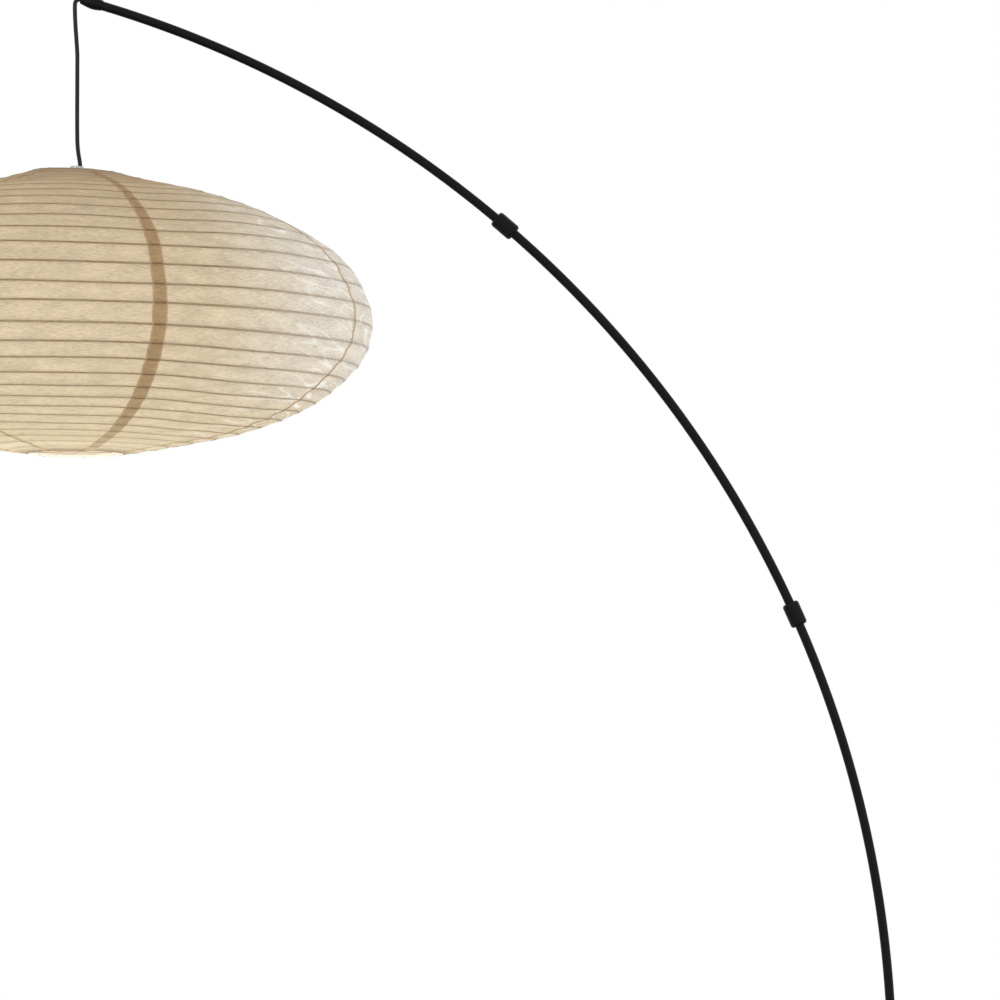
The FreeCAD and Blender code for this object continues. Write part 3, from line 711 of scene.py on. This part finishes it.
# How the ribs lean, by the number of waves round the lantern: what all of them share, and
# what is added at the upper half and taken off at the lower one, in mm to each side.
LEAN = [
    (0, (0, 0), (0.5, 1.7)),
    (1, (0.8, 1.3), (0.7, 2.6)),
    (2, (-3.6, 2.4), (0.2, 1.2)),
    (3, (0.4, 2.7), (0.3, -1.3)),
]
# How far single ribs were glued above or below their even place, in mm.
UNEVEN = {10: 0.5, 11: 1.4, 12: 1.0, 13: 1.2, 14: 2.6, 15: -2.2, 16: -2.0, 17: 0.3, 18: 0.6}
# The ribs bow beside the closing lap, and the rims sit a little out of place, in mm.
BOW, BOW_MIDDLE, BOW_REACH = 4.5, math.radians(22), math.radians(17)
UPPER_RIM_DROP = 2.3
LOWER_RIM_LIFT = 2.2
# The slopes stand out past the even curve: by so many mm all round and so many more on the
# slack side, most at so many ribs from the widest one, and over so many ribs.
FULLER_ABOVE = (6.5, 3, 4.4, 3.6)
FULLER_BELOW = (11, 7, 7.4, 4.0)


def rib_shift(turn, rib):
    """How far a rib is out of its even place, outwards and upwards in mm."""
    side = (rib - PANELS) / PANELS
    bulge = math.sin(math.pi * rib / TOP)
    up = UNEVEN.get(rib, 0)
    for waves, (sine, sine_rise), (cosine, cosine_rise) in LEAN:
        up += (sine + sine_rise * side) * math.sin(waves * turn)
        up += (cosine + cosine_rise * side) * math.cos(waves * turn)
    up += 2.2 * around_noise(turn, rib * 0.21, 1) + 0.9 * around_noise(turn, rib * 1.9, 2, 3.2)
    at_lap = (turn - BOW_MIDDLE + math.pi) % math.tau - math.pi
    up -= BOW * math.sin(math.pi * side) * math.exp(-(at_lap / BOW_REACH) ** 2)
    up *= bulge**0.5 * soft_step(0, 6, min(rib, TOP - rib))
    up -= UPPER_RIM_DROP * (rib / TOP) ** 4 * math.sin(turn)
    up += LOWER_RIM_LIFT * (1 - rib / TOP) ** 8
    all_round, more, middle, reach = FULLER_ABOVE if rib > PANELS else FULLER_BELOW
    out = all_round + more * soft_step(-0.2, 1, math.sin(turn))
    out *= math.exp(-(((abs(rib - PANELS) - middle) / reach) ** 2)) * soft_step(0, 3, rib)
    out += 1.3 * bulge * around_noise(turn, rib * 0.6, 3, 2.2)
    return out, up


def crease_at(turn, rib, slack):
    """The paper's unevenness between the ribs in mm: soft cockles, and folds where slack."""
    length = WIDEST * turn
    drop = rib * RIB_SPACING
    wide = noise.noise(Vector((length / 46, drop / 20, 3.1)))
    narrow = noise.noise(Vector((length / 24, drop / 16, 7.7)))
    slanted = noise.noise(Vector(((length + 1.6 * drop) / 44, drop / 30, 11.3)))
    fold = max(1 - 2.4 * abs(slanted), -0.4)
    return COCKLE * (wide + 0.5 * narrow) + slack * FOLD_DEPTH * fold


def paper_point(turn, rib, away=0):
    """Where the paper lies, at an angle from the front towards +X and a place counted in
    ribs, with a distance away from its outer face in mm."""
    below = min(int(rib), TOP - 1)
    share = rib - below
    ends = []
    for index in (below, below + 1):
        out, up = rib_shift(turn, index)
        ends.append((ribs[index][0] + out, ribs[index][1] + up))
    (low_radius, low_height), (high_radius, high_height) = ends
    panel = math.dist(*ends)
    along = ((high_radius - low_radius) / panel, (high_height - low_height) / panel)
    sag = 4 * share * (1 - share)
    slack = slack_at(turn, rib)
    calm = soft_step(0, 1.5, rib) * soft_step(TOP, TOP - 1.5, rib)
    uneven = calm * crease_at(turn, rib, slack) * min(1, 2.5 * sag + 0.08)
    depth = SAG + slack * (0.3 - 1.2 * soft_step(11, 15, rib))
    outward = away - depth * sag * (0.35 + 0.65 * calm) + uneven
    radius = low_radius + (high_radius - low_radius) * share + along[1] * outward
    height = low_height + (high_height - low_height) * share - along[0] * outward
    return lantern_middle + Vector(
        (radius * math.sin(turn), -radius * math.cos(turn), height)
    ) * MM


# The paper's turned-in edge, round under the rim's hoop and up behind it: how far in from
# the rim and how far past it, in mm.
HEM_PROFILE = [(0.3, 0.25), (1.6, 0.35), (2.8, 0.25), (3.2, -0.2), (3.25, -2.9)]
HEM = len(HEM_PROFILE)


def hem_point(turn, rib, step):
    side = -1 if rib == 0 else 1
    inward, beyond = HEM_PROFILE[step]
    edge = paper_point(turn, rib)
    return edge - spoke_at(turn) * inward * MM + Vector((0, 0, side * beyond * MM))


clear_bench()
bpy.ops.mesh.primitive_circle_add(vertices=AROUND, radius=WIDEST * MM, location=(0, 0, 0))
skin = named("lantern_paper")
rings = TOP * STEPS + 1 + 2 * HEM
bpy.ops.object.mode_set(mode="EDIT")
bpy.ops.mesh.select_mode(type="EDGE")
for ring in range(rings - 1):
    draw_ring(MM)
bpy.ops.object.mode_set(mode="OBJECT")

spacing = math.tau / AROUND
seam_offset = FIRST_SEAM % spacing
turns = []
places = []
for vertex in skin.data.vertices:
    turn = round(math.atan2(vertex.co.x, -vertex.co.y) / spacing) * spacing + seam_offset
    ring = round(vertex.co.z / MM)
    place = min(max((ring - HEM) / STEPS, 0), TOP)
    turns.append(turn)
    places.append(place)
    if ring < HEM:
        vertex.co = hem_point(turn, 0, HEM - 1 - ring)
    elif ring > rings - 1 - HEM:
        vertex.co = hem_point(turn, TOP, ring - (rings - HEM))
    else:
        vertex.co = paper_point(turn, place)


MAP_STEP = 0.7  # each gore has its own stretch of the paper map


def map_paper(piece, point_turns, point_places):
    """Lays each gore out flat, in metres, so that the fibres keep their size."""
    layer = piece.data.uv_layers.new(name="paper_map")
    tones = piece.data.attributes.new("gore_tone", "FLOAT", "FACE")
    for face in piece.data.polygons:
        corner_turns = [point_turns[index] for index in face.vertices]
        if max(corner_turns) - min(corner_turns) > math.pi:
            corner_turns = [turn % math.tau for turn in corner_turns]
        middle = sum(corner_turns) / len(corner_turns)
        gore = math.floor((middle - FIRST_SEAM) / GORE_TURN) % GORES
        centre = FIRST_SEAM + (gore + 0.5) * GORE_TURN
        tones.data[face.index].value = around_noise(gore * 2.1, 4.4, gore, 5)
        for corner, turn in zip(face.loop_indices, corner_turns):
            place = point_places[piece.data.loops[corner].vertex_index]
            off_centre = (turn - centre + math.pi) % math.tau - math.pi
            layer.data[corner].uv = (
                gore * MAP_STEP + off_centre * even_radius(place) * MM, place * RIB_SPACING * MM
            )


def mark_paper(piece, point_turns, point_places, **more_marks):
    """Writes on each point what the paper's finish reads there, such as the distance to the
    nearest rib and the height between the rims."""
    marks = {
        "rib_gap": [abs(place - round(place)) * RIB_SPACING for place in point_places],
        "level": [place / TOP for place in point_places],
        "pale": [painted_backlight_at(turn, place) for turn, place in zip(point_turns, point_places)],
    }
    for name, values in (marks | more_marks).items():
        piece.data.attributes.new(name, "FLOAT", "POINT").data.foreach_set("value", values)
    map_paper(piece, point_turns, point_places)


mark_paper(
    skin, turns, places, slack=[slack_at(turn, place) for turn, place in zip(turns, places)]
)


def band_of(tree, distance, full, gone):
    """A mask that is 1 up to one distance and fades to 0 at another."""
    inputs = {0: distance, 1: full, 2: gone, 3: 1, 4: 0}
    return add_node(tree, "MapRange", inputs, interpolation_type="SMOOTHSTEP").outputs[0]


def stretched_noise(tree, place, scale, tilt=0, vector_type="POINT", **noise_inputs):
    """Noise that is drawn out along the paper, tilted by an angle in degrees."""
    mapped = add_node(
        tree,
        "Mapping",
        {"Vector": place, "Scale": scale, "Rotation": (0, 0, math.radians(tilt))},
        vector_type=vector_type,
    )
    inputs = {"Vector": mapped.outputs[0], "Scale": 1, **noise_inputs}
    return add_node(tree, "TexNoise", inputs).outputs[0]


fibres, fibres_given, fibres_made = shared_effect(
    "paper fibres",
    [("Paper map", "NodeSocketVector", None)],
    ["Fibre", "Cloud", "Crumple", "Fold"],
)
on_paper = fibres_given["Paper map"]
fold_noise = stretched_noise(
    fibres, on_paper, (1 / 9, 1 / 46, 1), -9, "TEXTURE", Detail=0.2, Distortion=0.15
)
off_fold = number_node(fibres, "ABSOLUTE", number_node(fibres, "SUBTRACT", fold_noise, 0.58))
crumple = add_node(fibres, "TexNoise", {"Vector": on_paper, "Scale": 130, "Detail": 4})
feed(fibres, fibres_made, {
    "Fibre": stretched_noise(fibres, on_paper, (120, 900, 1), -9, Detail=4, Distortion=0.8),
    "Cloud": stretched_noise(fibres, on_paper, (26, 60, 1), Detail=5),
    "Crumple": crumple.outputs[0],
    "Fold": band_of(fibres, off_fold, 0, 0.04),
})


def attribute_of(tree, name):
    return add_node(tree, "Attribute", attribute_name=name).outputs["Fac"]


def ramp_of(tree, share, stops):
    made = add_node(tree, "ValToRGB", {0: share})
    for place, colour in stops[1:-1]:
        made.color_ramp.elements.new(place)
    for stop, (place, colour) in zip(made.color_ramp.elements, stops):
        stop.position = place
        stop.color = colour
    return made.outputs[0]


# The gores' own tint, the painted highlight on folds, how much one side is painted paler by light
# from behind, and how strong and wide each rib's painted shadow and line are.
GORE_TINT = paint(176, 146, 104)
FOLD_LIGHT = paint(250, 246, 238)
TINT_MIDDLE, TINT_SWING = 0.10, 0.12
BACKLIGHT_SHARE = 0.7
FOLD_SHARE = 0.8
SHADOW_SHARE, SHADOW_REACH = 0.16, 8
LINE_CORE, LINE_REACH = 0.5, 2.7
LOW_RIM_REACH = 0.24
EDGE_SHARE = 0.62
FIBRE_MOTTLE, CLOUD_MOTTLE = 1.05, 0.58
RELIEF = 0.35 * MM


def paper_finish(name, shades, backlit_colour, rib_shadow_colour, rib_share, lit, edge_shade=None):
    """Handmade paper with fibres and rib lines.

    Its shades, which are painted light and shade, and the share of lamplight that comes through
    it, which is painted as a glow, both go from the lower to the upper rim. Each rib gets a
    painted shadow and line, one side is painted paler and the folds get painted highlights.
    """
    finish, tree, surface = new_finish(name)
    paper_map = add_node(tree, "UVMap", uv_map="paper_map").outputs[0]
    fibre, cloud, crumple, fold = add_node(
        tree, "Group", {0: paper_map}, node_tree=fibres
    ).outputs
    level = attribute_of(tree, "level")
    gap = attribute_of(tree, "rib_gap")
    pale = attribute_of(tree, "pale")

    # Each gore has its own tone, one side is painted paler where light from behind shows through,
    # and the folds get painted highlights.
    colour = ramp_of(tree, level, shades)
    tone = attribute_of(tree, "gore_tone")
    tone = number_node(tree, "MULTIPLY_ADD", tone, TINT_SWING, TINT_MIDDLE, clamp=True)
    colour = blend_colours(tree, tone, colour, GORE_TINT)
    backlit_share = number_node(tree, "MULTIPLY", pale, BACKLIGHT_SHARE)
    colour = blend_colours(tree, backlit_share, colour, backlit_colour)
    fold = number_node(tree, "MULTIPLY", fold, attribute_of(tree, "slack"))
    lit_fold = number_node(tree, "MULTIPLY", fold, FOLD_SHARE)
    colour = blend_colours(tree, lit_fold, colour, FOLD_LIGHT)

    # A rib shows as a painted soft shadow with a painted dark broken line in it, the wire's shade
    # on the lit paper; the line is fainter low down and where the paper is painted paler.
    shadow = number_node(tree, "MULTIPLY", band_of(tree, gap, 0, SHADOW_REACH), SHADOW_SHARE)
    colour = blend_colours(tree, shadow, colour, rib_shadow_colour)
    line = number_node(tree, "MULTIPLY", band_of(tree, gap, LINE_CORE, LINE_REACH), rib_share)
    above_rim = number_node(tree, "SUBTRACT", 1, band_of(tree, level, 0, LOW_RIM_REACH))
    for mask, change, start in ((cloud, 1.3, 0.3), (above_rim, 0.66, 0.34), (pale, -0.5, 1)):
        strength = number_node(tree, "MULTIPLY_ADD", mask, change, start)
        line = number_node(tree, "MULTIPLY", line, strength)
    line.node.use_clamp = True
    colour = blend_colours(tree, line, colour, rib_shadow_colour)
    if edge_shade:
        inside_edge = band_of(tree, attribute_of(tree, "lap_edge"), 0.62, 1.05)
        edge = number_node(tree, "SUBTRACT", 1, inside_edge)
        edge = number_node(tree, "MULTIPLY", edge, EDGE_SHARE)
        colour = blend_colours(tree, edge, colour, edge_shade)

    # The fibres and the sheet's uneven thickness make it darker and lighter.
    mottle = number_node(tree, "SUBTRACT", cloud, 0.5)
    mottle = number_node(tree, "MULTIPLY", mottle, CLOUD_MOTTLE)
    fine_mottle = number_node(tree, "SUBTRACT", fibre, 0.5)
    mottle = number_node(tree, "MULTIPLY_ADD", fine_mottle, FIBRE_MOTTLE, mottle)
    shade = {0: colour, "Scale": number_node(tree, "ADD", mottle, 1)}
    colour = add_node(tree, "VectorMath", shade, operation="SCALE").outputs[0]
    # The lamplight that comes through the paper is painted as a glow: a share of its colour, set
    # from the lower to the upper rim.
    through = ramp_of(tree, level, [(place, (share, share, share, 1)) for place, share in lit])
    grain_height = number_node(tree, "MULTIPLY_ADD", fibre, 0.5, crumple)
    relief = {
        "Strength": 0.5,
        "Distance": RELIEF,
        "Height": number_node(tree, "MULTIPLY_ADD", fold, 1.5, grain_height),
    }
    feed(tree, surface, {
        "Base Color": colour,
        "Emission Color": blend_colours(tree, 1, colour, through, way="MULTIPLY"),
        "Emission Strength": 1,
        "Roughness": number_node(tree, "MULTIPLY_ADD", cloud, 0.14, 0.74),
        "Specular IOR Level": 0.3,
        "Normal": add_node(tree, "Bump", relief).outputs[0],
    })
    return finish


# The outside's shades are painted light and shade: lightest just above the lower rim, browner and
# darker towards the top, and darkest at both rim edges. Its painted glow is strongest low down.
paper_outside = paper_finish(
    "handmade paper",
    [
        (0.0, paint(160, 142, 114)),
        (0.03, paint(230, 214, 183)),
        (0.10, paint(219, 203, 171)),
        (0.42, paint(218, 201, 172)),
        (0.62, paint(210, 192, 162)),
        (0.84, paint(194, 171, 138)),
        (0.97, paint(172, 146, 113)),
        (1.0, paint(140, 122, 98)),
    ],
    backlit_colour=paint(238, 234, 224),
    rib_shadow_colour=paint(124, 98, 68),
    rib_share=0.8,
    lit=[(0.0, 0.52), (0.2, 0.44), (0.36, 0.33), (0.52, 0.24), (0.75, 0.19), (1.0, 0.15)],
)
# The inside is painted as lit by the bulb: near white with the most glow at the lower rim, and
# warmer and dimmer towards the top.
paper_inside = paper_finish(
    "paper lit from inside",
    [(0.0, paint(248, 246, 238)), (0.4, paint(244, 236, 214)), (1.0, paint(234, 220, 192))],
    backlit_colour=paint(250, 244, 232),
    rib_shadow_colour=paint(196, 174, 138),
    rib_share=0.5,
    lit=[(0.0, 0.74), (0.10, 0.36), (0.5, 0.24), (1.0, 0.16)],
)

skin.data.materials.append(paper_outside)
skin.data.materials.append(paper_inside)
# The turned-in part of the lower hem shows the inner side, painted as lit by the bulb.
for face in skin.data.polygons:
    if face.index < (HEM - 1) * AROUND:
        face.material_index = 1
pick_up(skin)
bpy.ops.object.mode_set(mode="EDIT")
bpy.ops.mesh.select_all(action="SELECT")
bpy.ops.mesh.normals_make_consistent(inside=False)
bpy.ops.object.mode_set(mode="OBJECT")
work_over(
    skin,
    "SOLIDIFY",
    thickness=PAPER_THICKNESS * MM,
    offset=-1,
    material_offset=1,
    material_offset_rim=0,
)
smooth(60)
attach(skin, "lantern")
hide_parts(*[f"paper_gore_{number}" for number in range(1, GORES + 1)])


# --- seam laps --------------------------------------------------------------------------
# Where two gores meet, one laps over the other and is glued down. It is painted brown, as painted
# shade, because the double paper lets less lamplight through. The closing lap is wide and tapers
# towards both rims, and the other laps are narrow.

LAP_THICKNESS = 0.45
LAP_RISE = 0.55
WIDE_LAP = 5  # a narrower one is all edge
# Its shades are painted shade, lighter low down and browner towards the top, and its painted glow
# is strongest low down.
lap_paper = paper_finish(
    "lapped paper",
    [
        (0.0, paint(222, 202, 166)),
        (0.08, paint(208, 184, 149)),
        (0.2, paint(186, 159, 124)),
        (0.4, paint(169, 140, 104)),
        (0.8, paint(160, 130, 97)),
        (1.0, paint(152, 124, 94)),
    ],
    backlit_colour=paint(210, 192, 165),
    rib_shadow_colour=paint(104, 78, 50),
    rib_share=0.75,
    lit=[(0.0, 0.3), (0.5, 0.2), (1.0, 0.14)],
    edge_shade=paint(190, 167, 133),
)


def seam_lap(name, seam, half_width, columns):
    clear_bench()
    bpy.ops.mesh.primitive_grid_add(
        x_subdivisions=columns, y_subdivisions=TOP * STEPS, size=1, location=(0, 0, 0)
    )
    lap = named(name)
    lap_turns = []
    lap_places = []
    lap_edges = []
    for vertex in lap.data.vertices:
        place = (vertex.co.y + 0.5) * TOP
        side = 1 if vertex.co.x > 0 else -1
        torn = 1 + 0.10 * noise.noise(Vector((place * 1.3, side * 9, seam)))
        if half_width > WIDE_LAP:
            torn *= 0.58 + 0.42 * soft_step(25, 14, place) - 0.34 * soft_step(12, 0, place)
        wander = 1.4 * noise.noise(Vector((place * 0.35, 2.2, seam * 5)))
        off_seam = vertex.co.x * 2 * half_width * torn + wander
        turn = seam + off_seam / even_radius(place)
        lap_turns.append(turn)
        lap_places.append(place)
        lap_edges.append(1 - (1 - abs(vertex.co.x) * 2) * min(1, half_width / WIDE_LAP))
        vertex.co = paper_point(turn, place, away=LAP_RISE)
    mark_paper(lap, lap_turns, lap_places, slack=[0 for place in lap_places], lap_edge=lap_edges)
    work_over(lap, "SOLIDIFY", thickness=LAP_THICKNESS * MM, offset=-1)
    smooth(60)
    fit(lap, "lantern", "paper", lap_paper)


seam_lap("closing_lap", FIRST_SEAM, half_width=9.6, columns=8)
for gore in range(1, GORES):
    seam_lap(f"gore_lap_{gore}", FIRST_SEAM + gore * GORE_TURN, half_width=2.8, columns=4)


# --- rib wires --------------------------------------------------------------------------
# Twenty-seven hoops of thin wire, one in each ridge of the paper, which is glued to them
# from outside.

RIB_WIRE_RADIUS = 0.5
rib_wire = grained_finish(
    "rib wire", paint(120, 104, 80), paint(150, 132, 104),
    rough=(0.5, 0.65), grains=600, clouds=40, depth=0.02 * MM,
)


def hoop_along(middle_at, wire_radius, around, sides):
    """A closed hoop of round wire, whose middle is given at each turn round the lantern."""
    clear_bench()
    bpy.ops.mesh.primitive_torus_add(
        major_segments=around,
        minor_segments=sides,
        major_radius=1,
        minor_radius=wire_radius * MM,
        location=(0, 0, 0),
    )
    hoop = bpy.context.object
    for vertex in hoop.data.vertices:
        turn = math.atan2(vertex.co.x, -vertex.co.y)
        outward = math.hypot(vertex.co.x, vertex.co.y) - 1
        vertex.co = middle_at(turn) + spoke_at(turn) * outward + Vector((0, 0, vertex.co.z))
    return hoop


def join_up(name, pieces):
    """One piece made of several."""
    pick_up(pieces[0])
    for piece in pieces[1:]:
        piece.select_set(True)
    bpy.ops.object.join()
    return named(name)


behind_paper = -PAPER_THICKNESS - RIB_WIRE_RADIUS - 0.05
rib_wires = []
for rib in range(1, TOP):
    rib_wires.append(hoop_along(
        lambda turn: paper_point(turn, rib, away=behind_paper),
        RIB_WIRE_RADIUS,
        around=168,
        sides=5,
    ))
rib_set = join_up("rib_wires", rib_wires)
bpy.ops.object.shade_smooth()
fit(rib_set, "lantern", "wire", rib_wire)


# --- rim hoops --------------------------------------------------------------------------
# A round hoop at each mouth. The paper's edge is turned in round it, and the upper hoop
# hangs a little out of level.

HOOP_RADIUS = 1.15
HOOP_INSET = 1.65
HOOP_RISE = 1.5
bamboo = grained_finish(
    "bamboo hoop", paint(134, 106, 70), paint(170, 142, 102),
    rough=(0.5, 0.68), grains=260, clouds=60, depth=0.05 * MM, stretch=(1, 1, 6),
)


def rim_hoop(name, rib, upward, stands_for):
    def middle_at(turn):
        inside = paper_point(turn, rib) - spoke_at(turn) * HOOP_INSET * MM
        return inside + Vector((0, 0, upward * MM))

    hoop_along(middle_at, HOOP_RADIUS, around=192, sides=16)
    hoop = named(name)
    bpy.ops.object.shade_smooth()
    fit(hoop, "lantern", "hoop", bamboo, stands_for)


rim_hoop("lower_hoop", 0, HOOP_RISE, "bottom_rim_hoop")
rim_hoop("upper_hoop", TOP, -HOOP_RISE, "top_rim_hoop")


# --- spreader ---------------------------------------------------------------------------
# A frame of bright steel wire that stands in the lantern and holds its rims apart. The
# holder's ring clamps its hub, and the cord comes down through the eye in its top bar.

bright_steel = grained_finish(
    "bright steel wire", paint(168, 167, 163), paint(206, 205, 200),
    rough=(0.22, 0.36), grains=500, clouds=60, depth=0.01 * MM, stretch=(1, 1, 0.1), metal=1,
)
WIRE_RADIUS = 1.25
WIRE_SIDES = 16
SHOULDER_RADIUS = 4
LEG_OUT = 50
FOOT_END = 61
HOOK_MIDDLE = 55
EYE_RADIUS = 10.6
EYE_TURNS = 3
EYE_TAPER = 1.5
EYE_PITCH = 1.9
HOOK_GAP = 0.2
UPPER_RIM_RADIUS = 60
foot_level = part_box("spreader_leg_left")[0].z / MM + WIRE_RADIUS
bar_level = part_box("spreader_crossbar")[0].z / MM + WIRE_RADIUS
hook_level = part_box("top_rim_hoop")[0].z / MM - HOOK_GAP - WIRE_RADIUS
top_tilt = math.asin(UPPER_RIM_DROP / UPPER_RIM_RADIUS)


def bend_wire(side, out, height):
    """Bends the selected end through a right angle round a shoulder, in mm from the axis."""
    middle = (LANTERN_X + out * MM, 0, height * MM)
    bpy.ops.mesh.spin(steps=8, angle=math.pi / 2, center=middle, axis=(0, side, 0))


def wire_leg(side):
    """One leg: a foot on the lower rim, a bend, the upright, a bend and half the top bar."""
    clear_bench()
    bpy.ops.mesh.primitive_circle_add(
        vertices=WIRE_SIDES,
        radius=WIRE_RADIUS * MM,
        fill_type="NGON",
        location=(LANTERN_X + side * FOOT_END * MM, 0, foot_level * MM),
        rotation=(0, math.radians(90), 0),
    )
    leg = bpy.context.object
    bpy.ops.object.transform_apply(location=True, rotation=True)
    bpy.ops.object.mode_set(mode="EDIT")
    slope = side * math.tan(top_tilt)
    head = bar_level - slope * LEG_OUT
    straight_run(-side * (FOOT_END - LEG_OUT - SHOULDER_RADIUS), 0)
    bend_wire(-side, side * (LEG_OUT + SHOULDER_RADIUS), foot_level + SHOULDER_RADIUS)
    straight_run(0, head - foot_level - 2 * SHOULDER_RADIUS)
    bend_wire(side, side * (LEG_OUT - SHOULDER_RADIUS), head - SHOULDER_RADIUS)
    bar = LEG_OUT - SHOULDER_RADIUS - EYE_RADIUS
    straight_run(-side * bar, slope * bar)
    bpy.ops.object.mode_set(mode="OBJECT")
    return leg


def wire_peg(start, end, radius=WIRE_RADIUS):
    """A short straight wire between two points, in mm from the lantern's axis and up."""
    clear_bench()
    first = Vector((LANTERN_X + start[0] * MM, 0, start[1] * MM))
    last = Vector((LANTERN_X + end[0] * MM, 0, end[1] * MM))
    bpy.ops.mesh.primitive_cylinder_add(
        vertices=WIRE_SIDES, radius=radius * MM, depth=(last - first).length
    )
    peg = bpy.context.object
    peg.matrix_world = Matrix.Translation((first + last) / 2) @ (
        (last - first).to_track_quat("Z", "Y").to_matrix().to_4x4()
    )
    bpy.ops.object.transform_apply(location=True, rotation=True)
    bpy.ops.object.mode_set(mode="EDIT")
    bpy.ops.mesh.select_all(action="SELECT")
    bpy.ops.mesh.bevel(offset=0.3 * MM, segments=2)
    bpy.ops.object.mode_set(mode="OBJECT")
    return peg


spreader_wires = []
for side in (-1, 1):
    spreader_wires.append(wire_leg(side))
    hook = hook_level - side * math.tan(top_tilt) * HOOK_MIDDLE
    spreader_wires.append(wire_peg((side * LEG_OUT, hook), (side * FOOT_END, hook)))
for turn_of_eye in range(EYE_TURNS):
    clear_bench()
    bpy.ops.mesh.primitive_torus_add(
        major_segments=64,
        minor_segments=14,
        major_radius=(EYE_RADIUS - EYE_TAPER * turn_of_eye) * MM,
        minor_radius=WIRE_RADIUS * MM,
        location=(LANTERN_X, 0, (bar_level + turn_of_eye * EYE_PITCH) * MM),
        rotation=(0, top_tilt, 0),
    )
    spreader_wires.append(bpy.context.object)
spreader = join_up("spreader_frame", spreader_wires)
settle(spreader, crease_angle=50)
fit(
    spreader,
    "lantern",
    "wire",
    bright_steel,
    "spreader_leg_left",
    "spreader_leg_right",
    "spreader_crossbar",
)

ARM_RADIUS = 1.0
COLLAR_BORE, COLLAR_RADIUS, COLLAR_HALF = 19.6, 26, 0.7
hub_low, hub_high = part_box("spreader_hub")
hub_level = (hub_low.z + hub_high.z) / 2 / MM
hub = ring_up(
    "spreader_collar",
    [
        (COLLAR_BORE, -COLLAR_HALF), (COLLAR_RADIUS, -COLLAR_HALF),
        (COLLAR_RADIUS, COLLAR_HALF), (COLLAR_BORE, COLLAR_HALF),
    ],
    sides=96,
    axis=(LANTERN_X, 0),
    level=hub_level,
)
round_edges(hub, 0.3)
arms = []
for side in (-1, 1):
    start, end = side * (COLLAR_RADIUS - 1), side * (LEG_OUT - WIRE_RADIUS)
    arms.append(wire_peg((start, hub_level), (end, hub_level), ARM_RADIUS))
hub = join_up("spreader_collar", [hub, *arms])
settle(hub, crease_angle=40)
fit(hub, "lantern", "wire", bright_steel, "spreader_hub")


# --- room and light ---------------------------------------------------------------------
# A pale floor that fades into a white room, even light from all round and two soft lamps
# in front.

WHITE = (1, 1, 1, 1)
FLOOR_RADIUS = 9
FADE_START = 2.2
FADE_END = 7.2
clear_bench()
bpy.ops.mesh.primitive_circle_add(
    vertices=96, radius=FLOOR_RADIUS, fill_type="NGON", location=(-0.5, 0, 0)
)
floor = named("floor")
bpy.ops.object.transform_apply(location=True)
floor_finish = grained_finish(
    "pale floor", paint(233, 232, 229), paint(239, 238, 236),
    rough=(0.8, 0.9), grains=300, clouds=2, depth=0.01 * MM,
)
floor_tree = floor_finish.node_tree
floor_place = add_node(floor_tree, "TexCoord").outputs["Object"]
reach = add_node(floor_tree, "VectorMath", {0: floor_place}, operation="LENGTH")
fade_inputs = {0: reach.outputs["Value"], 1: FADE_START, 2: FADE_END}
fade = add_node(floor_tree, "MapRange", fade_inputs, interpolation_type="SMOOTHSTEP")
floor_mix = add_node(floor_tree, "MixShader", {
    0: fade.outputs[0],
    1: floor_tree.nodes["Principled BSDF"].outputs[0],
    2: add_node(floor_tree, "Emission", {"Color": WHITE}).outputs[0],
})
feed(floor_tree, floor_tree.nodes["Material Output"], {"Surface": floor_mix.outputs[0]})
floor.data.materials.append(floor_finish)


def soft_lamp(name, place, power, size=4.0):
    light = bpy.data.lights.new(name, "AREA")
    light.shape = "DISK"
    light.size = size
    light.energy = power
    lamp = bpy.data.objects.new(name, light)
    lamp.location = place
    lamp.rotation_euler = facing(place, (-0.75, 0, 1.55))
    scene.collection.objects.link(lamp)


soft_lamp("lamp_front_left", (-4.2, -5.6, 3.6), 70)
soft_lamp("lamp_front_right", (3.8, -5.0, 2.6), 40)

studio = bpy.data.worlds.new("studio")
studio.use_nodes = True
scene.world = studio
sky = studio.node_tree
even_light = sky.nodes["Background"]
feed(sky, even_light, {"Color": WHITE, "Strength": 0.60})
white_view = add_node(sky, "Background", {"Color": WHITE, "Strength": 1})
path = add_node(sky, "LightPath").outputs
seen = number_node(sky, "MAXIMUM", path["Is Camera Ray"], path["Is Glossy Ray"])
seen = number_node(sky, "MAXIMUM", seen, path["Is Transmission Ray"])
either = add_node(sky, "MixShader", {
    0: seen,
    1: even_light.outputs[0],
    2: white_view.outputs[0],
})
feed(sky, sky.nodes["World Output"], {"Surface": either.outputs[0]})

scene.view_settings.view_transform = "Standard"

clear_bench()
bpy.context.view_layer.update()
